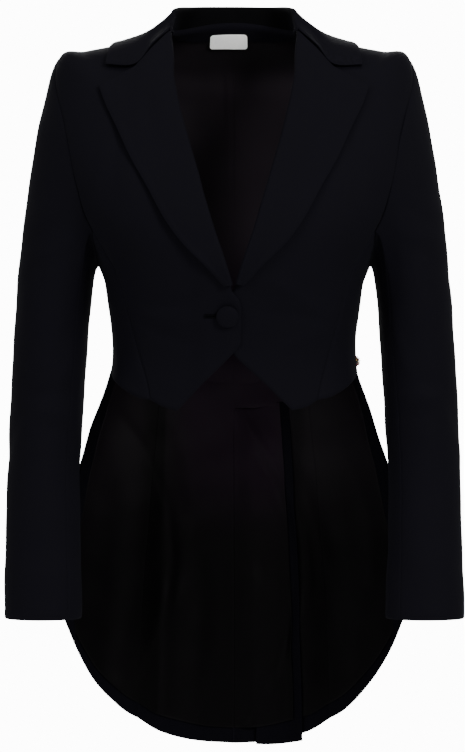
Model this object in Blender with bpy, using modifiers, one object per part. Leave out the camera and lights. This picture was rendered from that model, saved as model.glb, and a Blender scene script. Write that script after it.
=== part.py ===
"""Tailcoat blazer, hollow and worn: cropped one-button front, notch collar, two-piece sleeves, deep tails.

The front faces -Y and the wearer's left is +X. The origin is between the shoulders, at neck level.
Lengths in the tables are millimetres; MM turns them into metres.
"""

import math

import bmesh
import bpy
from mathutils import Vector

MM = 0.001

CLOTH_WALL = 2.0
LINING_WALL = 1.0
SEAM_GAP = 0.3
SEAM_DRAW = 0.3
BENT_SEAM_DRAW = 0.55
SLEEVE_SEAM_DRAW = 0.95
LINING_EASE = 0.85
LAPEL_WALL = 2.0
LABEL_WALL = 0.6
ROLL_RADIUS = 2.6
OVERLAP_LIFT = 2.6
SIDE_FULLNESS = 0.16

# Rings of the worn form from neck to tails: half width and height at the side, then depth and height
# at centre front and at centre back.
# Columns: name, side_x, side_z, front_y, front_z, back_y, back_z.
FORM_ROWS = (
    ("neck", 70, 4, 55, -55, 58, 15),
    ("mid_shoulder", 128, -13.5, 92, -95, 88, -30),
    ("outer_shoulder", 163, -20.5, 101, -118, 95, -58),
    ("shoulder_tip", 192, -27, 108, -140, 100, -85),
    ("upper_armhole", 206, -95, 122, -185, 106, -150),
    ("lower_armhole", 192, -180, 129, -225, 104, -215),
    ("armpit", 149, -257, 127, -263, 98, -262),
    ("midriff", 138, -305, 112, -305, 88, -305),
    ("waist", 133.5, -352, 99, -352, 82, -352),
    ("jacket_hem", 141, -390, 98, -392, 91, -390),
    ("high_tail", 163, -440, 102, -440, 104, -440),
    ("mid_tail", 188, -500, 106, -500, 117, -500),
    ("low_tail", 207, -580, 106, -580, 124, -580),
    ("tail_round", 213, -680, 106, -680, 122, -680),
    ("tail_point", 214, -815, 106, -815, 118, -815),
)
TAIL_TOP_Z = -392
CHART_TILT = 0.8

# Soft flutes of the tails: where each one lies at the waist and at the hem, its half width and its depth.
# Columns: name, top_x, hem_x, half_width, depth.
FLUTES = (
    ("right_side", -118, -138, 24, 7),
    ("right_valley", -78, -88, 15, -7),
    ("right_middle", -38, -44, 22, 5),
    ("centre", 8, 14, 18, -3),
    ("left_middle", 52, 58, 18, 4),
    ("left_valley", 74, 84, 13, -6),
    ("left_side", 108, 130, 24, 6),
)

# Key points of the panels as seen from the front or the back, (x from centre, z), for one side.
ARMHOLE_FRONT = ((193, -28), (184, -105), (170, -172), (153, -222))
PRINCESS_FRONT = ((153, -222), (137, -250), (122, -283), (112, -320), (100, -362), (89.6, -402))
ARMHOLE_SIDE_FRONT = ((153, -222), (151, -243), (149, -257))
SIDE_SEAM = ((149, -257), (138, -305), (133.5, -352), (134.5, -371))
SIDE_FRONT_HEM = ((89.6, -402), (104, -399), (122, -389), (134.5, -371))
ARMHOLE_BACK = ((193, -28), (180, -95), (166, -160), (155, -212))
SIDE_BACK_TOP = ((155, -212), (152, -240), (149, -257))
SIDE_BACK_SEAM = ((155, -212), (126, -262), (98, -320), (85, -362), (84, -380))
SIDE_BACK_TAIL = ((84, -380), (87, -430), (97, -540), (105, -650), (108, -765))
CENTRE_BACK_Z = (-200, -385, -794)
TAIL_EDGE = (
    (134.5, -371), (142.5, -393), (158.5, -437.5), (173, -482.5), (187, -543), (192.5, -584), (194, -615),
    (190, -649),
)
TAIL_HEM_SIDE = ((108, -765), (122.5, -756), (145.5, -732.5), (163, -709), (177, -683), (190, -649))
TAIL_HEM_BACK = ((0, -794), (46, -791), (84, -780), (108, -765))

# The lapel: its roll line and its outer edge, and how far the edge stands off the front.
# Columns: roll_x, roll_z, edge_x, edge_z, edge_lift.
LAPEL_ROWS = (
    (70.5, -5, 144.5, -66.5, 2.8),
    (68.5, -33, 137, -86, 2.6),
    (66.5, -63, 123.5, -114.5, 2.8),
    (57, -107, 109, -146, 3.0),
    (43, -155, 92.6, -174.5, 3.4),
    (29, -205, 73, -210, 4.2),
    (18, -238, 53.6, -236, 4.8),
    (9.5, -263, 28.8, -260, 4.6),
    (4.6, -279, 10, -279.5, 4.0),
)
GORGE_MIDDLE = (89, -24)
GORGE_END = (107, -46)
NOTCH_SHARE = 0.55

# The over front's edge below the roll line, and the under front's hidden edge, x towards its own side.
OVER_EDGE_CURVE = ((4.6, -279), (2.5, -288), (-4.5, -296), (-6.9, -303))
OVER_EDGE_STRAIGHT = ((-6.9, -303), (-6.9, -343))
OVER_EDGE_DIAGONAL = ((-6.9, -343), (28, -378.5), (63, -413.6))
OVER_HEM = ((63, -413.6), (79, -408), (89.6, -402))
UNDER_EDGE_CURVE = ((4.6, -279), (-2, -290), (-12, -300), (-20, -310))
UNDER_EDGE_STRAIGHT = ((-20, -310), (-20, -333))
UNDER_EDGE_DIAGONAL = ((-20, -333), (22, -374), (63.5, -413))
UNDER_HEM = ((63.5, -413), (79, -409), (89.6, -402))

# Cells along each seam; neighbours share the same stretches, so that their edges match.
ARMHOLE_CELLS = 6
ARMHOLE_LOW_CELLS = 3
BODICE_CELLS = 9
TAIL_CELLS = 9
SHOULDER_CELLS = 6
NECK_CELLS = 5
LAPEL_CELLS = 8
EDGE_CELLS = (2, 1, 3)
HEM_SHARE = 0.024
SIDE_COLUMNS = (0, 0.2, 0.4, 0.58, 0.74, 0.87, 1)
FACING_COLUMN = 4

# The collar from centre back to the notch. The roll and mid points are x, y, z; the low and edge points
# lie on the form at (turn, ring) or in front view at (x, z), and stand off it by the last value.
COLLAR_BACK_RINGS = {"low": ((-1, 0.20, 6.0), (-0.55, 0.24, 5.6), (0.0, 0.45, 3.8)),
                     "edge": ((-1, 0.62, 2.8), (-0.6, 0.72, 2.8), (0.0, 1.04, 2.4))}
COLLAR_ROLL = ((0, 62, 35), (42, 50, 33.5), (65.5, 7, 26.5), (68.2, -9, 12.8), (70.8, -19.5, 2.2))
COLLAR_MID = ((0, 70.5, 22), (47, 57, 20.5), (78.6, 5, 13), (86, -14, -1.5))
COLLAR_FRONT = {"mid": (89, -21, 5.0), "low": (107, -43, 4.2), "edge": (137.6, -43, 3.4)}
COLLAR_FRONT_SIDE = {"low": (104.5, -21, 4.6), "edge": (136.5, -27, 3.4)}
COLLAR_SEAM_TURNS = (-1, -0.55, 0, 0.12, 0.19)
COLLAR_SEAM_DEPTH = 2.4
COLLAR_CELLS = 11

# Sleeve rings from biceps to cuff: centre, then half width and half depth.
# Columns: x, y, z, half_width, half_depth.
SLEEVE_ROWS = (
    (199, 4, -300, 40.5, 55),
    (203, 5, -360, 40, 52),
    (206.5, 4, -420, 39.7, 49.5),
    (209, -3, -480, 38.5, 46),
    (209, -15, -540, 39.2, 43),
    (208.6, -28, -600, 41.2, 41),
    (207.8, -36, -640, 41.6, 40.5),
)
CAP_CELLS = 6
ARM_CELLS = 9
BACK_SEAM_STEP = 2

BUTTON = {"x": -7, "z": -313, "radius": 12, "height": 5.0}
# The label's edges counted in the back panel's cells, from centre back and from the neck.
LABEL = {"right": 1.29, "left": 0.7, "top": 0.17, "bottom": 0.57}
ORNAMENT = {"z": -361, "radius": 7.2, "height": 4.6}
NECK_FACING_SHARE = 0.37
VENT_COLUMNS = 7
VENT_DROP = 9

COLLECTION_NAME = "tailcoat_blazer"

BLACK_CLOTH = ("black_wool", (0.012, 0.013, 0.020, 1), 0.85, 0.0)
SATIN = ("aubergine_satin", (0.020, 0.012, 0.022, 1), 0.32, 0.0)
WHITE_SATIN = ("label_satin", (0.80, 0.80, 0.78, 1), 0.5, 0.0)
GILT = ("gilt", (0.50, 0.33, 0.10, 1), 0.35, 1.0)


def clear_scene():
    for thing in list(bpy.data.objects):
        bpy.data.objects.remove(thing, do_unlink=True)


def home_collection():
    collection = bpy.data.collections.new(COLLECTION_NAME)
    bpy.context.scene.collection.children.link(collection)
    return collection


def material(look, node):
    name, colour, roughness, metallic = look
    made = bpy.data.materials.new(f"{name}_{node}")
    made.use_nodes = True
    shader = made.node_tree.nodes["Principled BSDF"]
    shader.inputs["Base Color"].default_value = colour
    shader.inputs["Roughness"].default_value = roughness
    shader.inputs["Metallic"].default_value = metallic
    return made


def smoothstep(low, high, value):
    share = min(1.0, max(0.0, (value - low) / (high - low)))
    return share * share * (3 - 2 * share)


def through(points, share):
    """A smooth curve through the points, at a share from 0 to 1 of its length."""
    lengths = [0.0]
    for a, b in zip(points, points[1:]):
        lengths.append(lengths[-1] + math.dist(a, b))
    target = min(1.0, max(0.0, share)) * lengths[-1]
    last = len(points) - 1
    k = min(last - 1, sum(1 for length in lengths[1:-1] if length <= target))
    span = lengths[k + 1] - lengths[k]
    t = (target - lengths[k]) / span if span else 0.0
    result = []
    for axis in range(len(points[0])):
        a, b = points[k][axis], points[k + 1][axis]
        slope_a = slope_b = (b - a) / span if span else 0.0
        if k > 0:
            slope_a = (b - points[k - 1][axis]) / (lengths[k + 1] - lengths[k - 1])
        if k < last - 1:
            slope_b = (points[k + 2][axis] - a) / (lengths[k + 2] - lengths[k])
        t2, t3 = t * t, t * t * t
        result.append((2 * t3 - 3 * t2 + 1) * a + (t3 - 2 * t2 + t) * span * slope_a
                      + (3 * t2 - 2 * t3) * b + (t3 - t2) * span * slope_b)
    return tuple(result)


def row_at(rows, position):
    """The table's row at a position counted in rows, smooth between rows."""
    last = len(rows) - 1
    k = min(last - 1, max(0, int(math.floor(position))))
    t = position - k
    values = []
    for column in range(len(rows[0])):
        a, b = rows[k][column], rows[k + 1][column]
        before = rows[k - 1][column] if k > 0 else 2 * a - b
        after = rows[k + 2][column] if k < last - 1 else 2 * b - a
        slope_a, slope_b = (b - before) / 2, (after - a) / 2
        t2, t3 = t * t, t * t * t
        values.append((2 * t3 - 3 * t2 + 1) * a + (t3 - 2 * t2 + t) * slope_a
                      + (3 * t2 - 2 * t3) * b + (t3 - t2) * slope_b)
    return values


FORM = tuple(row[1:] for row in FORM_ROWS)


def form_raw(turn, ring):
    """A point of the worn form. turn is 1 at centre front, 0 at the side and -1 at centre back."""
    side_x, side_z, front_y, front_z, back_y, back_z = row_at(FORM, ring)
    angle = abs(turn) * math.pi / 2
    across, along = math.cos(angle), math.sin(angle)
    depth, end_z = (-front_y, front_z) if turn > 0 else (back_y, back_z)
    full = along * (1 + SIDE_FULLNESS * across * across)
    return Vector((side_x * across, depth * full, side_z + (end_z - side_z) * along * along))


def form_normal(turn, ring):
    step = 0.02
    around = form_raw(turn + step, ring) - form_raw(turn - step, ring)
    down = form_raw(turn, ring + step) - form_raw(turn, ring - step)
    return around.cross(down).normalized()


def flute(x, z):
    """How far the tails swell out from the form here."""
    fall = smoothstep(TAIL_TOP_Z, -640, z)
    share = (TAIL_TOP_Z - z) / (TAIL_TOP_Z + 790)
    total = 0.0
    for _, top_x, hem_x, half_width, depth in FLUTES:
        centre = top_x + (hem_x - top_x) * share
        total += depth * math.exp(-((x - centre) / half_width) ** 2)
    return total * fall


def form(turn, ring, side=1, lift=0.0):
    """A point at a height over the form, on the wearer's left (side 1) or right (side -1)."""
    point = form_raw(turn, ring)
    if turn < 0:
        lift += flute(side * point.x, point.z)
    point = point + form_normal(turn, ring) * lift
    return Vector((side * point.x, point.y, point.z))


def spot(x, z, back=False):
    """The (turn, ring) of the form that is seen from the front or the back at x, z."""
    low, high = 0.0, len(FORM) - 1.0
    for _ in range(40):
        ring = (low + high) / 2
        side_x, side_z, _, front_z, _, back_z = row_at(FORM, ring)
        across = min(1.0, max(-1.0, x / side_x))
        end_z = back_z if back else front_z
        if side_z + (end_z - side_z) * (1 - across * across) > z:
            low = ring
        else:
            high = ring
    turn = math.acos(across) * 2 / math.pi
    return (-turn if back else turn, ring)


def chart(place):
    """The place on a flat chart on which neither the chest nor the top of the shoulder turns away."""
    point = form_raw(*place)
    return point.x, point.z - CHART_TILT * abs(point.y)


def unchart(x, level, back):
    """The (turn, ring) of a point of the chart."""
    low, high = 0.0, len(FORM) - 1.0
    for _ in range(40):
        ring = (low + high) / 2
        across = min(1.0, max(-1.0, x / row_at(FORM, ring)[0]))
        turn = math.acos(across) * 2 / math.pi
        if chart((-turn if back else turn, ring))[1] > level:
            low = ring
        else:
            high = ring
    return (-turn if back else turn, ring)


def spots(points, back=False):
    return [spot(x, z, back) for x, z in points]


def stretch(points, cells, hem=0.0):
    """The cells + 1 places along a smooth curve through the points; the last cell may be a hem's width."""
    if hem:
        return [through(points, (1 - hem) * k / (cells - 1)) for k in range(cells)] + [points[-1]]
    return [through(points, k / cells) for k in range(cells + 1)]


def joined(*stretches):
    places = list(stretches[0])
    for more in stretches[1:]:
        places += more[1:]
    return places


def coons(top, bottom, first, last, columns):
    """A grid of (turn, ring) places between four edges; columns are the shares along top and bottom."""
    rows = len(first) - 1
    grid = []
    for i in range(rows + 1):
        t = i / rows
        line = []
        for j, s in enumerate(columns):
            place = []
            for axis in (0, 1):
                across = (1 - t) * top[j][axis] + t * bottom[j][axis]
                down = (1 - s) * first[i][axis] + s * last[i][axis]
                corners = ((1 - s) * (1 - t) * top[0][axis] + s * (1 - t) * top[-1][axis]
                           + (1 - s) * t * bottom[0][axis] + s * t * bottom[-1][axis])
                place.append(across + down - corners)
            line.append(tuple(place))
        grid.append(line)
    return grid


def charted(top, bottom, first, last, back):
    """A grid of places between four edges, filled in on the chart; the edges stay as they are."""
    columns = even(len(top) - 1)
    flat = [[chart(place) for place in edge] for edge in (top, bottom, first, last)]
    grid = coons(*flat, columns)
    places = [[unchart(x, level, back) for x, level in line] for line in grid]
    places[0], places[-1] = list(top), list(bottom)
    for i, line in enumerate(places):
        line[0], line[-1] = first[i], last[i]
    return places


def even(cells):
    return [k / cells for k in range(cells + 1)]


def pulled_in(grid, draw=SEAM_DRAW, top_draw=None):
    """The grid with its border drawn in, so that neighbours stay apart at the seam."""
    rows, columns = len(grid) - 1, len(grid[0]) - 1
    result = [list(line) for line in grid]
    for i in range(rows + 1):
        for j in range(columns + 1):
            moves = []
            if i == 0:
                moves.append((grid[1][j] - grid[0][j], top_draw or draw))
            if i == rows:
                moves.append((grid[rows - 1][j] - grid[rows][j], draw))
            if j == 0:
                moves.append((grid[i][1] - grid[i][0], draw))
            if j == columns:
                moves.append((grid[i][columns - 1] - grid[i][columns], draw))
            for move, amount in moves:
                result[i][j] = result[i][j] + move.normalized() * amount
    return result


def sheet(name, grid, wall, look):
    """One piece of cloth: a grid of mid-wall points in millimetres, walled to both sides."""
    rows, columns = len(grid) - 1, len(grid[0]) - 1
    shape = bmesh.new()
    bmesh.ops.create_grid(shape, x_segments=columns, y_segments=rows, size=0.5)
    for corner in shape.verts:
        j = round((corner.co.x + 0.5) * columns)
        i = round((corner.co.y + 0.5) * rows)
        corner.co = grid[i][j] * MM
    mesh = bpy.data.meshes.new(name)
    shape.to_mesh(mesh)
    shape.free()
    made = bpy.data.objects.new(name, mesh)
    parts.objects.link(made)
    mesh.materials.append(material(look, name))
    mesh.shade_smooth()
    walled = made.modifiers.new("wall", "SOLIDIFY")
    walled.thickness = wall * MM
    walled.offset = 0
    return made


def overlap_lift(x, z, side):
    """The over front and its lapel are raised where they cross the under front."""
    if side > 0:
        return 0.0
    return OVERLAP_LIFT * smoothstep(-228, -262, z) * smoothstep(48, 28, x)


def placed(grid, side, lift, front=False):
    """The panel's (turn, ring) places as points at a height over the form."""
    points = []
    for line in grid:
        row = []
        for turn, ring in line:
            extra = 0.0
            if front:
                seen = form_raw(turn, ring)
                extra = overlap_lift(seen.x, seen.z, side)
            row.append(form(turn, ring, side, lift + extra))
        points.append(row)
    return points


def lapel_line(column):
    return [(row[column], row[column + 1]) for row in LAPEL_ROWS]


def along_lapel(points, share):
    return row_at(points, share * (len(points) - 1))


def roll_places(cells):
    return [spot(*along_lapel(lapel_line(0), k / cells)) for k in range(cells + 1)]


class Pattern:
    """The (turn, ring) places of every seam and panel of one side."""

    def __init__(self, side):
        over = side < 0
        self.side = side
        shoulder = stretch([(0.0, 0.0), (0.0, 1.0), (0.0, 2.0), (0.0, 3.0)], SHOULDER_CELLS)
        tip = spot(*ARMHOLE_FRONT[0])
        self.shoulder = [(turn, ring * tip[1] / 3.0) for turn, ring in shoulder]
        top = self.shoulder[-1]
        self.armhole_front = stretch([top] + spots(ARMHOLE_FRONT[1:]), ARMHOLE_CELLS)
        self.armhole_side_front = stretch(spots(ARMHOLE_SIDE_FRONT), ARMHOLE_LOW_CELLS)
        self.armhole_back = stretch([top] + spots(ARMHOLE_BACK[1:], True), ARMHOLE_CELLS)
        self.armhole_side_back = stretch(spots(SIDE_BACK_TOP, True), ARMHOLE_LOW_CELLS)
        pit = (0.0, self.armhole_side_front[-1][1])
        self.armhole_side_front[-1] = self.armhole_side_back[-1] = pit
        hip = (0.0, spot(*SIDE_SEAM[-1])[1])
        self.side_seam = stretch([pit, hip], BODICE_CELLS)
        self.princess = stretch(spots(PRINCESS_FRONT), BODICE_CELLS)
        side_front_hem = spots(SIDE_FRONT_HEM[:-1]) + [hip]
        self.side_front_hem = stretch(side_front_hem, ARMHOLE_LOW_CELLS)
        self.side_back_seam = joined(
            stretch(spots(SIDE_BACK_SEAM, True), BODICE_CELLS),
            stretch(spots(SIDE_BACK_TAIL, True), TAIL_CELLS, HEM_SHARE),
        )
        self.tail_edge = stretch([hip] + spots(TAIL_EDGE[1:], True), TAIL_CELLS, HEM_SHARE)
        neck, blade, waist, hem = [(-1.0, 0.0)] + spots([(0, z) for z in CENTRE_BACK_Z], True)
        self.centre_back = joined(
            stretch([neck, blade], ARMHOLE_CELLS),
            stretch([blade, waist], BODICE_CELLS),
            stretch([waist, hem], TAIL_CELLS, HEM_SHARE),
        )
        curve, straight, diagonal, hem = (
            (OVER_EDGE_CURVE, OVER_EDGE_STRAIGHT, OVER_EDGE_DIAGONAL, OVER_HEM) if over
            else (UNDER_EDGE_CURVE, UNDER_EDGE_STRAIGHT, UNDER_EDGE_DIAGONAL, UNDER_HEM)
        )
        roll = roll_places(LAPEL_CELLS)
        self.front_edge = joined(
            [(0.0, 0.0), roll[0]], roll,
            stretch(spots(curve), EDGE_CELLS[0]),
            stretch(spots(straight), EDGE_CELLS[1]),
            stretch(spots(diagonal), EDGE_CELLS[2]),
        )
        self.front_hem = stretch(spots(hem), SHOULDER_CELLS)

    def front(self):
        outer = joined(self.armhole_front, self.princess)
        return charted(self.shoulder, self.front_hem, self.front_edge, outer, False)

    def side_front(self):
        return coons(self.armhole_side_front, self.side_front_hem, self.princess, self.side_seam,
                     even(ARMHOLE_LOW_CELLS))

    def side_back(self):
        top_curve = spots(SIDE_BACK_TOP, True)[:-1] + [self.side_seam[0]]
        top = [through(top_curve, s) for s in SIDE_COLUMNS]
        hem_curve = spots(TAIL_HEM_SIDE, True)
        hem = [through(hem_curve, s) for s in SIDE_COLUMNS]
        edge = joined(self.side_seam, self.tail_edge)
        return coons(top, hem, self.side_back_seam, edge, SIDE_COLUMNS)

    def back(self):
        neck = stretch([(-1.0, 0.0), (0.0, 0.0)], NECK_CELLS)
        top = joined(neck, self.shoulder)
        columns = len(top) - 1
        hem = stretch(spots(TAIL_HEM_BACK, True), columns)
        hem[0] = self.centre_back[-1]
        outer = joined(self.armhole_back, self.side_back_seam)
        return charted(top, hem, self.centre_back, outer, True)


def build_body(side):
    word = "left" if side > 0 else "right"
    pattern = Pattern(side)
    mid = -CLOTH_WALL / 2
    front = pulled_in(placed(pattern.front(), side, mid, front=True), top_draw=BENT_SEAM_DRAW)
    sheet(f"front_{word}", front, CLOTH_WALL, BLACK_CLOTH)
    side_front = pulled_in(placed(pattern.side_front(), side, mid))
    sheet(f"side_front_{word}", side_front, CLOTH_WALL, BLACK_CLOTH)
    side_back = pulled_in(placed(pattern.side_back(), side, mid))
    sheet(f"side_back_{word}", side_back, CLOTH_WALL, BLACK_CLOTH)
    back = pulled_in(placed(pattern.back(), side, mid), top_draw=BENT_SEAM_DRAW)
    sheet(f"back_{word}", back, CLOTH_WALL, BLACK_CLOTH)
    build_linings(pattern, side, word)
    return pattern


def build_linings(pattern, side, word):
    """Lining, facing and vent, made from the panels' own places and set inside them."""
    lining = -(CLOTH_WALL + SEAM_GAP + LINING_WALL / 2)
    facing = -(CLOTH_WALL + SEAM_GAP + CLOTH_WALL / 4)
    waist_row = ARMHOLE_CELLS + BODICE_CELLS
    back = pattern.back()
    upper = placed(back, side, lining - LINING_EASE)[: waist_row + 1]
    sheet(f"lining_back_{word}", pulled_in(upper, top_draw=BENT_SEAM_DRAW), LINING_WALL, SATIN)
    inner = placed(back, side, lining)
    sheet(f"lining_tail_back_{word}", pulled_in(inner[waist_row:-1]), LINING_WALL, SATIN)
    side_inner = placed(pattern.side_back(), side, lining)[BODICE_CELLS:]
    tail = [line[: FACING_COLUMN + 1] for line in side_inner[:-1]]
    sheet(f"lining_tail_side_{word}", pulled_in(tail), LINING_WALL, SATIN)
    strip = placed(pattern.side_back(), side, facing)[BODICE_CELLS:]
    strip = [line[FACING_COLUMN:] for line in strip]
    sheet(f"tail_facing_{word}", pulled_in(strip), CLOTH_WALL / 2, BLACK_CLOTH)


def on_cells(grid, row, column):
    """A point on the panel's own facets, counted in cells."""
    i, j = min(int(row), len(grid) - 2), min(int(column), len(grid[0]) - 2)
    upper = grid[i][j].lerp(grid[i][j + 1], column - j)
    lower = grid[i + 1][j].lerp(grid[i + 1][j + 1], column - j)
    return upper.lerp(lower, row - i)


def build_neck_trim(pattern):
    """The self-cloth facing inside the back neck, and the blank label below it."""
    facing_lift = -(CLOTH_WALL + 2 * SEAM_GAP + LINING_WALL * 1.5 + LINING_EASE)
    label_lift = facing_lift - LINING_WALL / 2 - 2 * SEAM_GAP - LABEL_WALL / 2
    back = pattern.back()
    facing, label = {}, {}
    for side in (-1, 1):
        facing[side] = placed(back, side, facing_lift)
        label[side] = placed(back, side, label_lift)
    grid = []
    for share in (0.0, NECK_FACING_SHARE):
        right = [on_cells(facing[-1], share, j) for j in range(NECK_CELLS, 0, -1)]
        grid.append(right + [on_cells(facing[1], share, j) for j in range(NECK_CELLS + 1)])
    sheet("neck_facing", pulled_in(grid), LINING_WALL, BLACK_CLOTH)
    grid = []
    for share_down in even(2):
        row = LABEL["top"] + (LABEL["bottom"] - LABEL["top"]) * share_down
        line = [on_cells(label[-1], row, LABEL["right"] * share) for share in (1, 0.66, 0.33)]
        line += [on_cells(label[1], row, LABEL["left"] * share) for share in (0, 0.5, 1)]
        grid.append(line)
    sheet("label", grid, LABEL_WALL, WHITE_SATIN)


def build_vent(left):
    """The right back's extension inside the left back, with the lining that covers it."""
    first_row = ARMHOLE_CELLS + BODICE_CELLS + 1
    under = -(CLOTH_WALL + SEAM_GAP + LINING_WALL + SEAM_GAP + CLOTH_WALL / 2)
    strip = [line[: VENT_COLUMNS + 1] for line in placed(left.back(), 1, under)[first_row:]]
    for j, place in enumerate(strip[-1]):
        place.z -= VENT_DROP * j / VENT_COLUMNS
    sheet("vent_underlap", pulled_in(strip), CLOTH_WALL, BLACK_CLOTH)
    inner = under - CLOTH_WALL / 2 - SEAM_GAP - LINING_WALL / 2
    cover = [line[:VENT_COLUMNS] for line in placed(left.back(), 1, inner)[first_row:-1]]
    sheet("lining_vent", pulled_in(cover), LINING_WALL, SATIN)


def build_lapel(side):
    """The lapel: it leaves the front's edge, turns over the roll and lies on the front."""
    word = "left" if side > 0 else "right"
    turns = (-90, -45, 0, 45, 90)
    shares = (0.14, 0.32, NOTCH_SHARE, 0.78, 1.0)
    grid = []
    for i in range(LAPEL_CELLS + 1):
        roll_x, roll_z, edge_x, edge_z, edge_lift = row_at(LAPEL_ROWS, i * (len(LAPEL_ROWS) - 1) / LAPEL_CELLS)

        def across(share):
            if i == 0:
                stops = ((0, (roll_x, roll_z)), (NOTCH_SHARE / 2, GORGE_MIDDLE),
                         (NOTCH_SHARE, GORGE_END), (1, (edge_x, edge_z)))
                for (s0, a), (s1, b) in zip(stops, stops[1:]):
                    if share <= s1:
                        t = (share - s0) / (s1 - s0)
                        return a[0] + (b[0] - a[0]) * t, a[1] + (b[1] - a[1]) * t
            return roll_x + (edge_x - roll_x) * share, roll_z + (edge_z - roll_z) * share

        def point(share, lift):
            x, z = across(share)
            return form(*spot(x, z), side, lift + overlap_lift(x, z, side))

        base = point(0, 0)
        outward = (base - point(0.2, 0)).normalized()
        normal = (point(0, 1) - base).normalized()
        centre = ROLL_RADIUS - CLOTH_WALL / 2
        row = []
        for angle in turns:
            lean = math.radians(angle)
            row.append(base + outward * ROLL_RADIUS * math.cos(lean)
                       + normal * (centre + ROLL_RADIUS * math.sin(lean)))
        top = centre + ROLL_RADIUS
        for share in shares:
            row.append(point(share, top + (edge_lift - top) * smoothstep(0, 1, share)))
        grid.append(row)
    sheet(f"lapel_{word}", pulled_in(grid, BENT_SEAM_DRAW), LAPEL_WALL, BLACK_CLOTH)


def collar_guides(station):
    """The guide points of the collar's section at a station from 0, centre back, to 4, the notch."""
    seam_turn = row_at([(turn,) for turn in COLLAR_SEAM_TURNS], station)[0]
    seam = form(seam_turn, 0.0, 1, -COLLAR_SEAM_DEPTH) + Vector((0, 0, 2.0))
    roll = Vector(row_at(COLLAR_ROLL, station))
    places = {}
    for key in ("low", "edge"):
        x, z, lift = COLLAR_FRONT_SIDE[key]
        between = (*spot(x, z), lift)
        x, z, lift = COLLAR_FRONT[key]
        end = (*spot(x, z), lift)
        turn, ring, lift = row_at(COLLAR_BACK_RINGS[key] + (between, end), station)
        places[key] = form(turn, ring, 1, lift)
    x, z, lift = COLLAR_FRONT["mid"]
    mid_rows = COLLAR_MID + (tuple(form(*spot(x, z), 1, lift)),)
    mid = Vector(row_at(mid_rows, station))
    out = Vector((roll.x, roll.y, 0)).normalized()
    height = 1 - 0.55 * smoothstep(2, 4, station)
    inside = roll - out * 2.6 * height - Vector((0, 0, 5 * height))
    outside = roll + out * 3.0 * height - Vector((0, 0, 3.6 * height))
    return [seam, inside, roll, outside, mid, places["low"], places["edge"]]


def build_collar():
    cells = (2, 1, 1, 1, 2, 2)
    grid = []
    for k in range(-COLLAR_CELLS, COLLAR_CELLS + 1):
        guides = collar_guides(abs(k) * 4 / COLLAR_CELLS)
        row = []
        for g, count in enumerate(cells):
            row += [Vector(row_at(guides, g + c / count)) for c in range(count)]
        row.append(guides[-1])
        side = -1 if k < 0 else 1
        grid.append([Vector((side * point.x, point.y, point.z)) for point in row])
    sheet("collar", pulled_in(grid), CLOTH_WALL, BLACK_CLOTH)


def armhole_loop(pattern):
    """The armhole from the shoulder tip down the front and up the back, in places."""
    front = joined(pattern.armhole_front, pattern.armhole_side_front)
    back = joined(pattern.armhole_back, pattern.armhole_side_back)
    return front + back[-2:0:-1]


def loop_angles(points):
    """Angle round the sleeve for each armhole point: 0 at the tip, 180 at the armpit."""
    half = ARMHOLE_CELLS + ARMHOLE_LOW_CELLS
    ring = points + [points[0]]
    angles = []
    for start, end in ((0, half), (half, 2 * half)):
        lengths = [0.0]
        for k in range(start, end):
            lengths.append(lengths[-1] + (ring[k + 1] - ring[k]).length)
        angles += [180 * (start // half) + 180 * length / lengths[-1] for length in lengths[:-1]]
    return angles


def sleeve_ring(row, angle):
    x, y, z, half_width, half_depth = row
    lean = math.radians(angle)
    return Vector((x + half_width * math.cos(lean), y - half_depth * math.sin(lean), z))


def sleeve_grid(pattern):
    """Columns round the sleeve, rows from the armhole to the cuff, on the wearer's left."""
    places = armhole_loop(pattern)
    starts = [form(turn, ring, 1, -CLOTH_WALL / 2) for turn, ring in places]
    angles = loop_angles(starts)
    hole_ring = spot(200, -150)[1]
    count = len(places)
    columns = []
    for k, (turn, ring) in enumerate(places):
        along = (starts[(k + 1) % count] - starts[k - 1]).normalized()
        step = 0.04
        towards = Vector((0 - turn, hole_ring - ring))
        towards.normalize()
        inner = form(turn + towards.x * step, ring + towards.y * step, 1, -CLOTH_WALL / 2) - starts[k]
        body_tangent = (inner - along * inner.dot(along)).normalized()
        under = (1 - math.cos(math.radians(angles[k]))) / 2
        leave = body_tangent.lerp(Vector((1, 0, 0)), 0.25 + 0.6 * under).normalized()
        bend = body_tangent.angle(leave)
        start = starts[k] + leave * (SEAM_GAP * (1.6 + 3 * under) + CLOTH_WALL / 2 * math.tan(bend / 2))
        end = sleeve_ring(SLEEVE_ROWS[0], angles[k])
        down = (sleeve_ring(SLEEVE_ROWS[1], angles[k]) - end).normalized()
        far = (end - start).length
        leave_pull = 14 + 54 * (1 - under)
        down_pull = 0.83 * far
        column = []
        for i in range(CAP_CELLS):
            t = i / CAP_CELLS
            t = t * (0.55 + 0.45 * t)
            t2, t3 = t * t, t * t * t
            column.append(start * (2 * t3 - 3 * t2 + 1) + leave * leave_pull * (t3 - 2 * t2 + t)
                          + end * (3 * t2 - 2 * t3) + down * down_pull * (t3 - t2))
        for i in range(ARM_CELLS + 1):
            row = row_at(SLEEVE_ROWS, i * (len(SLEEVE_ROWS) - 1) / ARM_CELLS)
            column.append(sleeve_ring(row, angles[k]))
        columns.append(column)
    return columns


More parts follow.
